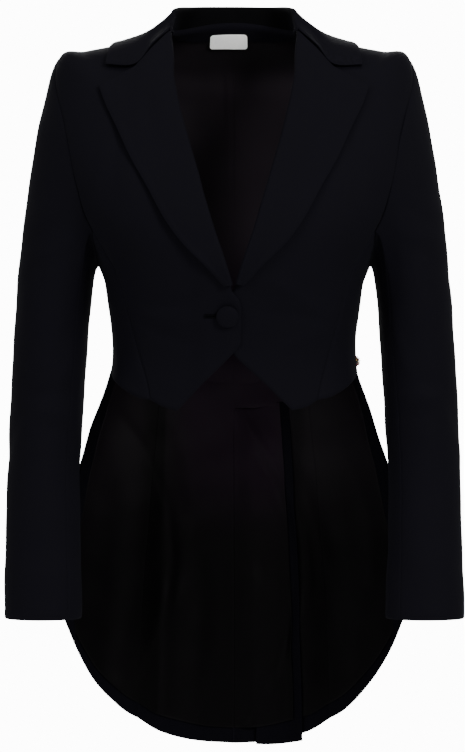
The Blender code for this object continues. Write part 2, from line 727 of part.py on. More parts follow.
def build_sleeves(pattern, side):
    word = "left" if side > 0 else "right"
    columns = sleeve_grid(pattern)
    columns = [[Vector((side * p.x, p.y, p.z)) for p in column] for column in columns]
    count = len(columns)
    front_seam = ARMHOLE_CELLS
    back_seam = ARMHOLE_CELLS + 2 * ARMHOLE_LOW_CELLS + BACK_SEAM_STEP
    top = [columns[k % count] for k in range(back_seam, count + front_seam + 1)]
    under = [columns[k] for k in range(front_seam, back_seam + 1)]
    for name, lines in (("topsleeve", top), ("undersleeve", under)):
        grid = [list(line) for line in zip(*lines)]
        sheet(f"{name}_{word}", sewn_sides(grid), CLOTH_WALL, BLACK_CLOTH)


def sewn_sides(grid):
    """The grid with only its two long sides drawn in; its top already stands off the armhole."""
    drawn = pulled_in(grid, SLEEVE_SEAM_DRAW)
    for j in range(1, len(grid[0]) - 1):
        drawn[0][j] = grid[0][j]
    return drawn


def turned(name, profile, look, steps):
    """A turned piece about its own Z from a profile of (radius, height), outer side top to bottom."""
    mesh = bpy.data.meshes.new(name)
    corners = [(radius * MM, 0, height * MM) for radius, height in profile]
    mesh.from_pydata(corners, [(k, k + 1) for k in range(len(corners) - 1)], [])
    made = bpy.data.objects.new(name, mesh)
    parts.objects.link(made)
    mesh.materials.append(material(look, name))
    spun = made.modifiers.new("turn", "SCREW")
    spun.steps = spun.render_steps = steps
    spun.use_merge_vertices = True
    spun.merge_threshold = 0.00002
    spun.use_normal_calculate = True
    return made


def seated(made, place, side, lift):
    """Puts a turned piece on the form at a height, its own Z along the form's normal."""
    seat = form(*place, side, lift)
    normal = (form(*place, side, lift + 1) - seat).normalized()
    made.location = seat * MM
    made.rotation_euler = normal.to_track_quat("Z", "Y").to_euler()


def build_button():
    """The cloth-covered button, domed in front, flat behind."""
    radius, height = BUTTON["radius"], BUTTON["height"]
    profile = [(0, height)]
    for degrees in (25, 45, 62, 78):
        lean = math.radians(degrees)
        profile.append((radius * math.sin(lean), 1.6 + (height - 1.6) * math.cos(lean)))
    profile += [(radius, 1.5), (radius - 1.2, 0.2), (radius - 4, 0), (0, 0)]
    made = turned("button", profile, BLACK_CLOTH, 20)
    seated(made, spot(-BUTTON["x"], BUTTON["z"]), -1, OVERLAP_LIFT + 2 * SEAM_GAP)


def build_ornament():
    """The small domed ornament on the wearer's left side seam at the waist."""
    radius, height = ORNAMENT["radius"], ORNAMENT["height"]
    profile = [(0, height), (radius * 0.5, height * 0.92), (radius * 0.85, height * 0.66),
               (radius, height * 0.3), (radius * 0.92, 0), (0, 0)]
    made = turned("waist_ornament", profile, GILT, 14)
    seated(made, (0.0, spot(135, ORNAMENT["z"])[1]), 1, 2.5 * SEAM_GAP)


clear_scene()
parts = home_collection()
right_pattern = build_body(-1)
left_pattern = build_body(1)
build_neck_trim(left_pattern)
build_vent(left_pattern)
build_lapel(-1)
build_lapel(1)
build_collar()
build_sleeves(right_pattern, -1)
build_sleeves(left_pattern, 1)
build_button()
build_ornament()
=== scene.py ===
"""Tailcoat blazer in its worn form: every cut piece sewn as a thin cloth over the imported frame.

The front faces -Y and the wearer's left is +X. The tables are in millimetres; MM turns them into metres.
"""

import math

import bmesh
import bpy
import numpy as np
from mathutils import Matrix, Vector


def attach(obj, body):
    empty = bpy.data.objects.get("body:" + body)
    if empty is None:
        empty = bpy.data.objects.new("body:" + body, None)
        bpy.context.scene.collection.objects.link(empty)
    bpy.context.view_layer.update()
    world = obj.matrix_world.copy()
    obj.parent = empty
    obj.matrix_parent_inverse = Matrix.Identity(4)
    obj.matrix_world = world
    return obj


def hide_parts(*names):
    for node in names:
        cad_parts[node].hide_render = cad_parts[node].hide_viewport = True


bl_info = {
    "name": "Tailcoat Blazer",
    "version": (1, 0, 0),
    "blender": (4, 5, 0),
    "location": "View3D > Sidebar > Blazer",
    "description": "Sews a cropped-front blazer with long satin-lined tails, piece by piece",
    "category": "Object",
}

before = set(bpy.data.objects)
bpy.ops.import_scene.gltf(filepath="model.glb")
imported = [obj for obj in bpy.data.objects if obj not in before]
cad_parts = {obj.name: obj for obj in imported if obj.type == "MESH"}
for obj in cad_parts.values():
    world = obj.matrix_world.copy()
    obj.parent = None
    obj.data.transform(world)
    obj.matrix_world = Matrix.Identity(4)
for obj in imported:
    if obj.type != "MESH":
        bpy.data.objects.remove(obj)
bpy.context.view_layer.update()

MM = 0.001

CLOTH_WALL = 2.0
LINING_WALL = 1.0
SEAM_GAP = 0.3
FRONT_SEAM_ROLL = 1.7
LINING_EASE = 0.85
LABEL_WALL = 0.6
ROLL_RADIUS = 2.6
OVERLAP_LIFT = 2.6
SIDE_FULLNESS = 0.16

# Rings of the worn form from neck to tails: half width and height at the side, then depth and height
# at centre front and at centre back.
# Columns: side_x, side_z, front_y, front_z, back_y, back_z.
FORM = (
    (70, 4, 55, -55, 58, 15),
    (128, -13.5, 92, -95, 88, -30),
    (163, -20.5, 101, -118, 95, -58),
    (192, -27, 108, -140, 100, -85),
    (206, -95, 122, -185, 106, -150),
    (192, -180, 129, -225, 104, -215),
    (149, -257, 127, -263, 98, -262),
    (138, -305, 112, -305, 88, -305),
    (133.5, -352, 99, -352, 82, -352),
    (141, -390, 98, -392, 91, -390),
    (163, -440, 102, -440, 104, -440),
    (188, -500, 106, -500, 117, -500),
    (207, -580, 106, -580, 124, -580),
    (213, -680, 106, -680, 122, -680),
    (214, -815, 106, -815, 118, -815),
)
TAIL_TOP_Z = -392
CHART_TILT = 0.8

# The search for a place on the form steps up by this many rings and is then halved this often.
RING_STEP = 0.2
HALVINGS = 28

# Lines of a grid over which its evening below a corner fades, and how often it is smoothed.
EVENING_RAMP = 12
EVENING_PASSES = 90

# Soft flutes of the tails. Columns: top_x, hem_x, half_width, depth.
FLUTES = (
    (-118, -138, 24, 7),
    (-78, -88, 15, -7),
    (-38, -44, 22, 5),
    (8, 14, 18, -3),
    (52, 58, 18, 4),
    (74, 84, 13, -6),
    (108, 130, 24, 6),
)

# Key points of the panels as seen from the front or the back, (x from centre, z), for one side.
ARMHOLE_FRONT = ((193, -28), (184, -105), (170, -172), (153, -222))
PRINCESS_FRONT = ((153, -222), (137, -250), (122, -283), (112, -320), (100, -362), (89.6, -402))
ARMHOLE_SIDE_FRONT = ((153, -222), (151, -243), (149, -257))
SIDE_SEAM_END = (134.5, -371)
SIDE_FRONT_HEM = ((89.6, -402), (104, -399), (122, -389), (134.5, -371))
ARMHOLE_BACK = ((193, -28), (180, -95), (166, -160), (155, -212))
SIDE_BACK_TOP = ((155, -212), (152, -240), (149, -257))
SIDE_BACK_SEAM = ((155, -212), (126, -262), (98, -320), (85, -362), (84, -380))
SIDE_BACK_TAIL = ((84, -380), (87, -430), (97, -540), (105, -650), (108, -765))
CENTRE_BACK_Z = (-200, -385, -794)
TAIL_EDGE = (
    (134.5, -371), (142.5, -393), (158.5, -437.5), (173, -482.5), (187, -543), (192.5, -584), (194, -615),
    (190, -649),
)
TAIL_HEM_SIDE = ((108, -765), (122.5, -756), (145.5, -732.5), (163, -709), (177, -683), (190, -649))
TAIL_HEM_BACK = ((0, -794), (46, -791), (84, -780), (108, -765))

# The lapel: its roll line, its outer edge, and how far the edge stands off the front.
# Columns: roll_x, roll_z, edge_x, edge_z, edge_lift.
LAPEL_ROWS = (
    (70.5, -5, 144.5, -66.5, 2.8),
    (68.5, -33, 137, -86, 2.6),
    (66.5, -63, 123.5, -114.5, 2.8),
    (57, -107, 109, -146, 3.0),
    (43, -155, 92.6, -174.5, 3.4),
    (29, -205, 73, -210, 4.2),
    (18, -238, 53.6, -236, 4.8),
    (9.5, -263, 28.8, -260, 4.6),
    (4.6, -279, 10, -279.5, 4.0),
)
GORGE_MIDDLE = (89, -24)
GORGE_END = (107, -46)
NOTCH_SHARE = 0.55

# The front edges below the roll line and their hems: the over front's, then the under front's.
FRONT_EDGES = {
    -1: (((4.6, -279), (2.5, -288), (-4.5, -296), (-6.9, -303)), ((-6.9, -303), (-6.9, -343)),
         ((-6.9, -343), (28, -378.5), (63, -413.6)), ((63, -413.6), (79, -408), (89.6, -402))),
    1: (((4.6, -279), (-2, -290), (-12, -300), (-20, -310)), ((-20, -310), (-20, -333)),
        ((-20, -333), (22, -374), (63.5, -413)), ((63.5, -413), (79, -409), (89.6, -402))),
}

# Cells of the pattern along each seam; each is sewn with FINE rows of threads.
FINE = 8
ARMHOLE_CELLS = 6
ARMHOLE_LOW_CELLS = 3
BODICE_CELLS = 9
TAIL_CELLS = 9
SHOULDER_CELLS = 6
NECK_CELLS = 5
LAPEL_CELLS = 8
EDGE_CELLS = (2, 1, 3)
HEM_SHARE = 0.024
SIDE_COLUMNS = (0, 0.2, 0.4, 0.58, 0.74, 0.87, 1)
FACING_COLUMN = 4

# The collar from centre back to the notch, as guide points of its section.
COLLAR_BACK_RINGS = {"low": ((-1, 0.20, 6.0), (-0.55, 0.24, 5.6), (0.0, 0.45, 3.8)),
                     "edge": ((-1, 0.62, 2.8), (-0.6, 0.72, 2.8), (0.0, 1.04, 2.4))}
COLLAR_ROLL = ((0, 62, 35), (42, 50, 33.5), (65.5, 7, 26.5), (68.2, -9, 12.8), (70.8, -19.5, 2.2))
COLLAR_MID = ((0, 70.5, 22), (47, 57, 20.5), (78.6, 5, 13), (86, -14, -1.5))
COLLAR_FRONT = {"mid": (89, -21, 5.0), "low": (107, -43, 4.2), "edge": (137.6, -43, 3.4)}
COLLAR_FRONT_SIDE = {"low": (104.5, -21, 4.6), "edge": (136.5, -27, 3.4)}
COLLAR_SEAM_TURNS = (-1, -0.55, 0, 0.12, 0.19)
COLLAR_SEAM_DEPTH = 2.4
COLLAR_CELLS = 11

# Sleeve rings from biceps to cuff. Columns: x, y, z, half_width, half_depth.
SLEEVE_ROWS = (
    (199, 4, -300, 40.5, 55),
    (203, 5, -360, 40, 52),
    (206.5, 4, -420, 39.7, 49.5),
    (209, -3, -480, 38.5, 46),
    (209, -15, -540, 39.2, 43),
    (208.6, -28, -600, 41.2, 41),
    (207.8, -36, -640, 41.6, 40.5),
)
CAP_CELLS = 6
CAP_EASING = 12
ARM_CELLS = 9
ARMHOLE_MIDDLE = (200, -150)
BACK_SEAM_STEP = 2

# The flat cut of each piece, in metres: width and length of the rectangle it is cut from.
CUTS = {
    "front": (0.215, 0.44), "side_front": (0.10, 0.195), "side_back": (0.147, 0.577), "back": (0.20, 0.87),
    "lining_back": (0.20, 0.47), "lining_tail_back": (0.117, 0.40), "lining_tail_side": (0.119, 0.373),
    "tail_facing": (0.031, 0.315), "vent_underlap": (0.062, 0.394), "lining_vent": (0.071, 0.369),
    "neck_facing": (0.20, 0.027), "label": (0.0405, 0.0185), "lapel": (0.122, 0.32), "collar": (0.115, 0.471),
    "topsleeve": (0.22, 0.63), "undersleeve": (0.135, 0.50),
}

BUTTON = {"x": -7, "z": -313, "radius": 12, "height": 5.0}
BUTTONHOLE = {"inner": -18.5, "outer": -30, "half_height": 2.0, "z": -313}
PURL_STITCHES = 22
BAR_STITCHES = 5
LABEL = {"right": 1.29, "left": 0.7, "top": 0.17, "bottom": 0.57}
ORNAMENT = {"z": -361, "radius": 7.2, "height": 4.6}
# Prongs of the ornament. Columns: how many, lean from its middle in degrees, reach as a share.
PRONG_RINGS = ((10, 84, 1.0), (9, 58, 0.92), (6, 32, 0.95), (1, 0, 0.98))
NECK_FACING_SHARE = 0.37
VENT_COLUMNS = 7
VENT_DROP = 9
VENT_TOP_Z = -409

# Creases bend sideways with the square of the run along them; unevenness is a sum of waves.
CREASE_BEND = 0.0022
WAVES = 7
USUAL_SUM = 2.6

# Soft creases pressed by hand, seen from the front or the back.
# Columns: x, z, lean in degrees from upright, half_length, half_width, height (below zero is a trough).
FRONT_CREASES = (
    (-62, -300, 78, 34, 6, -1.2),
    (-58, -318, 96, 38, 7, 1.1),
    (-70, -336, 112, 34, 7, -1.2),
    (58, -286, -62, 42, 8, 1.5),
    (62, -312, -86, 38, 8, -1.4),
    (72, -338, -112, 34, 7, 1.1),
    (-128, -150, 12, 60, 9, -1.3),
    (-112, -176, 20, 52, 10, 1.0),
    (130, -150, -12, 60, 9, -1.3),
    (112, -180, -20, 52, 10, 1.0),
    (-126, -256, 40, 34, 7, -1.0),
    (128, -260, -42, 34, 7, -1.0),
)
BACK_CREASES = (
    (-92, -330, 100, 46, 8, -1.3),
    (-80, -346, 92, 50, 8, 1.1),
    (-96, -366, 84, 44, 8, -1.2),
    (92, -334, -102, 46, 8, -1.2),
    (84, -350, -92, 50, 8, 1.1),
    (98, -370, -84, 44, 8, -1.1),
    (-150, -150, 14, 70, 11, -1.4),
    (150, -156, -14, 70, 11, -1.4),
    (-40, -120, 30, 60, 16, -0.9),
    (44, -126, -30, 60, 16, -0.9),
)
TAIL_CREASES = (
    (-158, -560, 8, 110, 14, 0.6),
    (-110, -590, 2.5, 280, 24, 3.0),
    (-73, -590, 2.5, 280, 8, -2.2),
    (-48, -540, 3, 130, 9, 1.2),
    (-20, -640, -2, 120, 10, -1.4),
    (30, -600, -2, 130, 9, 1.0),
    (68, -600, -1.5, 190, 8, 2.4),
    (83, -600, -1.5, 190, 7, -2.2),
    (98, -580, -5, 120, 9, -1.7),
    (152, -540, -9, 90, 10, 1.6),
    (124, -650, -4, 80, 9, -1.4),
)
# Columns: degrees round the sleeve (90 is the front), z, lean from upright, half_length, half_width, height.
SLEEVE_CREASES = (
    (60, -214, 66, 26, 7, -1.6),
    (74, -236, 74, 30, 7, 1.3),
    (48, -262, 62, 30, 8, -1.4),
    (96, -390, 78, 30, 8, -1.6),
    (84, -408, 96, 34, 8, 1.5),
    (104, -428, 108, 30, 8, -1.6),
    (70, -452, 84, 26, 8, 1.1),
    (40, -420, 30, 60, 9, -1.2),
    (118, -360, 20, 60, 9, 1.2),
    (58, -560, 74, 24, 9, -1.0),
    (110, -585, 100, 26, 9, 0.9),
    (268, -300, 84, 30, 9, -1.5),
    (282, -330, 96, 34, 9, 1.3),
    (262, -400, 80, 30, 9, -1.4),
)


def hermite(a, b, slope_a, slope_b, t):
    """The smooth curve from a to b that leaves and arrives with the two slopes, at shares t."""
    t2, t3 = t * t, t * t * t
    leaving = (2 * t3 - 3 * t2 + 1) * a + (t3 - 2 * t2 + t) * slope_a
    return leaving + (3 * t2 - 2 * t3) * b + (t3 - t2) * slope_b


def rows_at(rows, where):
    """Rows of a table at positions counted in rows, smooth between rows."""
    rows = np.asarray(rows, float)
    ends = np.concatenate([2 * rows[:1] - rows[1:2], rows, 2 * rows[-1:] - rows[-2:-1]])
    where = np.asarray(where, float)
    k = np.clip(np.floor(where).astype(int), 0, len(rows) - 2)
    t = (where - k).reshape(where.shape + (1,) * (rows.ndim - 1))
    before, a, b, after = ends[k], ends[k + 1], ends[k + 2], ends[k + 3]
    return hermite(a, b, (b - before) / 2, (after - a) / 2, t)


def through(points, shares):
    """Points of a smooth curve at shares from 0 to 1 of its length."""
    points = np.asarray(points, float)
    lengths = np.concatenate([[0.0], np.cumsum(np.linalg.norm(np.diff(points, axis=0), axis=1))])
    target = np.clip(shares, 0, 1) * lengths[-1]
    k = np.clip(np.searchsorted(lengths, target, side="right") - 1, 0, len(points) - 2)
    slopes = np.empty_like(points)
    slopes[0] = (points[1] - points[0]) / lengths[1]
    slopes[-1] = (points[-1] - points[-2]) / (lengths[-1] - lengths[-2])
    slopes[1:-1] = (points[2:] - points[:-2]) / (lengths[2:] - lengths[:-2])[:, None]
    span = (lengths[k + 1] - lengths[k])[:, None]
    t = (target - lengths[k])[:, None] / span
    return hermite(points[k], points[k + 1], slopes[k] * span, slopes[k + 1] * span, t)


def smoothstep(low, high, value):
    share = np.clip((value - low) / (high - low), 0, 1)
    return share * share * (3 - 2 * share)


def unit(vectors):
    return vectors / np.maximum(np.linalg.norm(vectors, axis=-1, keepdims=True), 1e-9)


def form_raw(turn, ring):
    """Points of the worn form. turn is 1 at centre front, 0 at the side and -1 at centre back."""
    turn, ring = np.asarray(turn, float), np.asarray(ring, float)
    side_x, side_z, front_y, front_z, back_y, back_z = np.moveaxis(rows_at(FORM, ring), -1, 0)
    angle = np.abs(turn) * np.pi / 2
    across, along = np.cos(angle), np.sin(angle)
    depth = np.where(turn > 0, -front_y, back_y)
    end_z = np.where(turn > 0, front_z, back_z)
    full = along * (1 + SIDE_FULLNESS * across * across)
    return np.stack([side_x * across, depth * full, side_z + (end_z - side_z) * along * along], -1)


def form_normal(turn, ring):
    step = 0.02
    around = form_raw(turn + step, ring) - form_raw(turn - step, ring)
    down = form_raw(turn, ring + step) - form_raw(turn, ring - step)
    return unit(np.cross(around, down))


def flute(x, z):
    """How far the tails swell out from the form here."""
    fall = smoothstep(TAIL_TOP_Z, -640, z)
    share = (TAIL_TOP_Z - z) / (TAIL_TOP_Z + 790)
    total = 0.0
    for top_x, hem_x, half_width, depth in FLUTES:
        centre = top_x + (hem_x - top_x) * share
        total = total + depth * np.exp(-((x - centre) / half_width) ** 2)
    return total * fall


def form(turn, ring, side=1, lift=0.0):
    """Points at a height over the form, on the wearer's left (side 1) or right (side -1)."""
    turn, ring = np.asarray(turn, float), np.asarray(ring, float)
    point = form_raw(turn, ring)
    raised = lift + np.where(turn < 0, flute(side * point[..., 0], point[..., 2]), 0.0)
    point = point + form_normal(turn, ring) * np.asarray(raised)[..., None]
    return point * np.array([side, 1, 1])


def searched(above, x, back):
    """The (turn, ring) where a test that holds above the place first stops holding."""

    def tested(ring):
        across = np.clip(x / rows_at(FORM, ring)[..., 0], -1, 1)
        turn = np.arccos(across) * (-2 if back else 2) / np.pi
        return turn, above(turn, ring, across)

    high = np.full(np.shape(x), len(FORM) - 1.0)
    # By the side the test can hold again further down, so the first step that fails comes before the halving.
    for ring in np.arange(len(FORM) - 1.0, 0, -RING_STEP):
        high = np.where(tested(np.full(np.shape(x), ring))[1], high, ring)
    low = np.maximum(high - RING_STEP, 0)
    for _ in range(HALVINGS):
        ring = (low + high) / 2
        turn, still = tested(ring)
        low, high = np.where(still, ring, low), np.where(still, high, ring)
    return np.stack([turn, ring], -1)


def spot(x, z, back=False):
    """The (turn, ring) of the form that is seen from the front or the back at x, z."""
    x, z = np.asarray(x, float), np.asarray(z, float)

    def above(turn, ring, across):
        row = rows_at(FORM, ring)
        end_z = row[..., 5 if back else 3]
        return row[..., 1] + (end_z - row[..., 1]) * (1 - across * across) > z

    return searched(above, x, back)


def spots(points, back=False):
    points = np.asarray(points, float)
    return spot(points[:, 0], points[:, 1], back)


def chart(places):
    """Places on a flat chart on which neither the chest nor the top of the shoulder turns away."""
    point = form_raw(places[..., 0], places[..., 1])
    return np.stack([point[..., 0], point[..., 2] - CHART_TILT * np.abs(point[..., 1])], -1)


def unchart(flat, back):
    level = flat[..., 1]

    def above(turn, ring, across):
        return chart(np.stack([turn, ring], -1))[..., 1] > level

    return searched(above, flat[..., 0], back)


def shares_of(coarse):
    """Coarse shares along a seam, with FINE steps in each cell."""
    cells = len(coarse) - 1
    return np.interp(np.arange(cells * FINE + 1) / FINE, np.arange(cells + 1), coarse)


def stretch(points, cells, hem=0.0):
    coarse = np.linspace(0, 1, cells + 1)
    if hem:
        coarse[:-1] = np.linspace(0, 1 - hem, cells)
    return through(points, shares_of(coarse))


def joined(*stretches):
    return np.concatenate([stretches[0]] + [more[1:] for more in stretches[1:]])


def coons(top, bottom, first, last, columns):
    """A grid between four edges; columns are the shares along top and bottom."""
    t = (np.arange(len(first)) / (len(first) - 1))[:, None, None]
    s = np.asarray(columns)[None, :, None]
    across = (1 - t) * top[None] + t * bottom[None]
    down = (1 - s) * first[:, None] + s * last[:, None]
    corners = (1 - s) * (1 - t) * top[0] + s * (1 - t) * top[-1]
    corners = corners + (1 - s) * t * bottom[0] + s * t * bottom[-1]
    return across + down - corners


def evened(grid, low, high):
    """The grid with its columns from low to high spaced evenly below a corner of the top edge."""
    eased = grid.copy()
    for _ in range(EVENING_PASSES):
        eased[:, 1:-1] = (eased[:, :-2] + 2 * eased[:, 1:-1] + eased[:, 2:]) / 4
    rows, columns = np.arange(grid.shape[0])[:, None], np.arange(grid.shape[1])[None]
    share = smoothstep(0, EVENING_RAMP, rows) * smoothstep(low - EVENING_RAMP, low, columns)
    share = share * (1 - smoothstep(high, high + EVENING_RAMP, columns))
    return grid + (eased - grid) * share[..., None]


def charted(top, bottom, first, last, back, corner=None):
    """A grid between four edges, filled in on the chart; the edges stay as they are."""
    columns = np.linspace(0, 1, len(top))
    flat = coons(*(chart(edge) for edge in (top, bottom, first, last)), columns)
    if corner:
        flat = evened(flat, corner - EVENING_RAMP, corner + EVENING_RAMP)
    grid = unchart(flat, back)
    grid[0], grid[-1], grid[:, 0], grid[:, -1] = top, bottom, first, last
    return grid


def overlap_lift(x, z, side):
    """The over front and its lapel are raised where they cross the under front."""
    if side > 0:
        return np.zeros(np.shape(x))
    return OVERLAP_LIFT * smoothstep(-228, -262, z) * smoothstep(48, 28, x)


def placed(grid, side, lift, front=False):
    """The panel's (turn, ring) places as points at a height over the form."""
    extra = 0.0
    if front:
        seen = form_raw(grid[..., 0], grid[..., 1])
        extra = overlap_lift(seen[..., 0], seen[..., 2], side)
    return form(grid[..., 0], grid[..., 1], side, lift + extra)


class Pattern:
    """The (turn, ring) places of every seam and panel of one side."""

    def __init__(self, side):
        tip = spots(ARMHOLE_FRONT[:1])[0]
        shoulder = stretch([(0.0, 0.0), (0.0, 1.0), (0.0, 2.0), (0.0, 3.0)], SHOULDER_CELLS)
        self.shoulder = shoulder * np.array([1, tip[1] / 3.0])
        top = self.shoulder[-1:]
        self.armhole_front = stretch(np.concatenate([top, spots(ARMHOLE_FRONT[1:])]), ARMHOLE_CELLS)
        self.armhole_side_front = stretch(spots(ARMHOLE_SIDE_FRONT), ARMHOLE_LOW_CELLS)
        self.armhole_back = stretch(np.concatenate([top, spots(ARMHOLE_BACK[1:], True)]), ARMHOLE_CELLS)
        self.armhole_side_back = stretch(spots(SIDE_BACK_TOP, True), ARMHOLE_LOW_CELLS)
        pit = np.array([0.0, self.armhole_side_front[-1][1]])
        self.armhole_side_front[-1] = self.armhole_side_back[-1] = pit
        hip = np.array([0.0, spots([SIDE_SEAM_END])[0][1]])
        self.side_seam = stretch([pit, hip], BODICE_CELLS)
        self.princess = stretch(spots(PRINCESS_FRONT), BODICE_CELLS)
        self.side_front_hem = stretch(np.concatenate([spots(SIDE_FRONT_HEM[:-1]), [hip]]), ARMHOLE_LOW_CELLS)
        self.side_back_seam = joined(stretch(spots(SIDE_BACK_SEAM, True), BODICE_CELLS),
                                     stretch(spots(SIDE_BACK_TAIL, True), TAIL_CELLS, HEM_SHARE))
        self.tail_edge = stretch(np.concatenate([[hip], spots(TAIL_EDGE[1:], True)]), TAIL_CELLS, HEM_SHARE)
        blade, waist, hem = spots([(0, z) for z in CENTRE_BACK_Z], True)
        self.centre_back = joined(stretch([(-1.0, 0.0), blade], ARMHOLE_CELLS),
                                  stretch([blade, waist], BODICE_CELLS),
                                  stretch([waist, hem], TAIL_CELLS, HEM_SHARE))
        curve, straight, diagonal, hem = (spots(points) for points in FRONT_EDGES[side])
        steps = np.linspace(0, len(LAPEL_ROWS) - 1, LAPEL_CELLS * FINE + 1)
        rolls = rows_at([row[:2] for row in LAPEL_ROWS], steps)
        roll = spot(rolls[:, 0], rolls[:, 1])
        neck = np.linspace(0, 1, FINE + 1)[:, None] * roll[0]
        self.front_edge = joined(neck, roll, stretch(curve, EDGE_CELLS[0]), stretch(straight, EDGE_CELLS[1]),
                                 stretch(diagonal, EDGE_CELLS[2]))
        self.front_hem = stretch(hem, SHOULDER_CELLS)

    def front(self):
        outer = joined(self.armhole_front, self.princess)
        return charted(self.shoulder, self.front_hem, self.front_edge, outer, False)

    def side_front(self):
        return coons(self.armhole_side_front, self.side_front_hem, self.princess, self.side_seam,
                     np.linspace(0, 1, ARMHOLE_LOW_CELLS * FINE + 1))

    def side_back(self):
        shares = shares_of(SIDE_COLUMNS)
        top = through(np.concatenate([spots(SIDE_BACK_TOP, True)[:-1], self.side_seam[:1]]), shares)
        hem = through(spots(TAIL_HEM_SIDE, True), shares)
        return coons(top, hem, self.side_back_seam, joined(self.side_seam, self.tail_edge), shares)

    def back(self):
        top = joined(stretch([(-1.0, 0.0), (0.0, 0.0)], NECK_CELLS), self.shoulder)
        hem = stretch(spots(TAIL_HEM_BACK, True), NECK_CELLS + SHOULDER_CELLS)
        hem[0] = self.centre_back[-1]
        return charted(top, hem, self.centre_back, joined(self.armhole_back, self.side_back_seam), True,
                       NECK_CELLS * FINE)


PATTERNS = {side: Pattern(side) for side in (-1, 1)}
WORDS = {-1: "right", 1: "left"}


class Mask:
    """A number that changes over a surface; sums and products on it add Math nodes."""

    def __init__(self, finish, socket):
        self.finish = finish
        self.socket = socket

    def maths(self, operation, *values):
        made = self.finish.node("ShaderNodeMath", {"operation": operation}, dict(enumerate(values)))
        return Mask(self.finish, made.outputs[0])

    def __add__(self, other):
        return self.maths("ADD", self, other)

    def __radd__(self, other):
        return self.maths("ADD", other, self)

    def __sub__(self, other):
        return self.maths("SUBTRACT", self, other)

    def __rsub__(self, other):
        return self.maths("SUBTRACT", other, self)

    def __mul__(self, other):
        return self.maths("MULTIPLY", self, other)

    def __rmul__(self, other):
        return self.maths("MULTIPLY", other, self)

    def __abs__(self):
        return self.maths("ABSOLUTE", self)


class Finish:
    """One finish of the blazer: a Principled material and the nodes behind it."""

    def __init__(self, name, **constants):
        self.material = bpy.data.materials.new(name)
        self.material.use_nodes = True
        self.tree = self.material.node_tree
        self.shader = self.tree.nodes["Principled BSDF"]
        for socket, value in constants.items():
            self.shader.inputs[socket.replace("_", " ")].default_value = value

    def put(self, socket, value):
        if isinstance(value, Mask):
            self.tree.links.new(value.socket, socket)
        elif isinstance(value, bpy.types.NodeSocket):
            self.tree.links.new(value, socket)
        else:
            socket.default_value = value

    def node(self, kind, settings=None, sockets=None):
        made = self.tree.nodes.new(kind)
        for key, value in (settings or {}).items():
            setattr(made, key, value)
        for key, value in (sockets or {}).items():
            self.put(made.inputs[key], value)
        return made

    def mask(self, kind, settings=None, sockets=None, output=0):
        return Mask(self, self.node(kind, settings, sockets).outputs[output])

    def threads(self):
        """The place on the flat cloth, in metres along and across the grain."""
        return self.node("ShaderNodeUVMap", {"uv_map": "grain"}).outputs["UV"]

    def body(self):
        return self.node("ShaderNodeTexCoord").outputs["Object"]

    def turned(self, vector, degrees):
        turn = self.node("ShaderNodeMapping", {"vector_type": "POINT"},
                         {"Vector": vector, "Rotation": (0, 0, math.radians(degrees))})
        return turn.outputs[0]

    def noise(self, vector, scale, detail=2.0, roughness=0.5):
        return self.mask("ShaderNodeTexNoise", {}, {"Vector": vector, "Scale": scale, "Detail": detail,
                                                    "Roughness": roughness})

    def bands(self, vector, pitch, distortion=0.0):
        """Parallel threads across X, one to each pitch in metres."""
        settings = {"wave_type": "BANDS", "bands_direction": "X", "wave_profile": "SIN"}
        return self.mask("ShaderNodeTexWave", settings,
                         {"Vector": vector, "Scale": math.pi / 10 / pitch, "Distortion": distortion,
                          "Detail": 1.0, "Detail Scale": 1.5}, 1)

    def split(self, vector, axis):
        return self.mask("ShaderNodeSeparateXYZ", {}, {"Vector": vector}, axis)

    def ramped(self, value, low, high):
        """A smooth step of a value from 0 at low to 1 at high."""
        return self.mask("ShaderNodeMapRange", {"interpolation_type": "SMOOTHSTEP"},
                         {"Value": value, "From Min": low, "From Max": high})

    def between(self, value, rise, fall):
        """1 between two soft edges, each given as where it starts and ends."""
        return self.ramped(value, *rise) * (1 - self.ramped(value, *fall))

    def mixed(self, factor, a, b):
        return self.node("ShaderNodeMix", {"data_type": "RGBA"}, {0: factor, 6: a, 7: b}).outputs[2]

    def shape(self, height, distance, strength=1.0):
        bump = self.node("ShaderNodeBump", {}, {"Height": height, "Distance": distance, "Strength": strength})
        self.put(self.shader.inputs["Normal"], bump.outputs["Normal"])

    def colour(self, value):
        self.put(self.shader.inputs["Base Color"], value)

    def roughness(self, value):
        self.put(self.shader.inputs["Roughness"], value)


def dyed(colour, share):
    """The colour made lighter or darker by a share."""
    return tuple(min(1.0, c * share) for c in colour[:3]) + (1.0,)


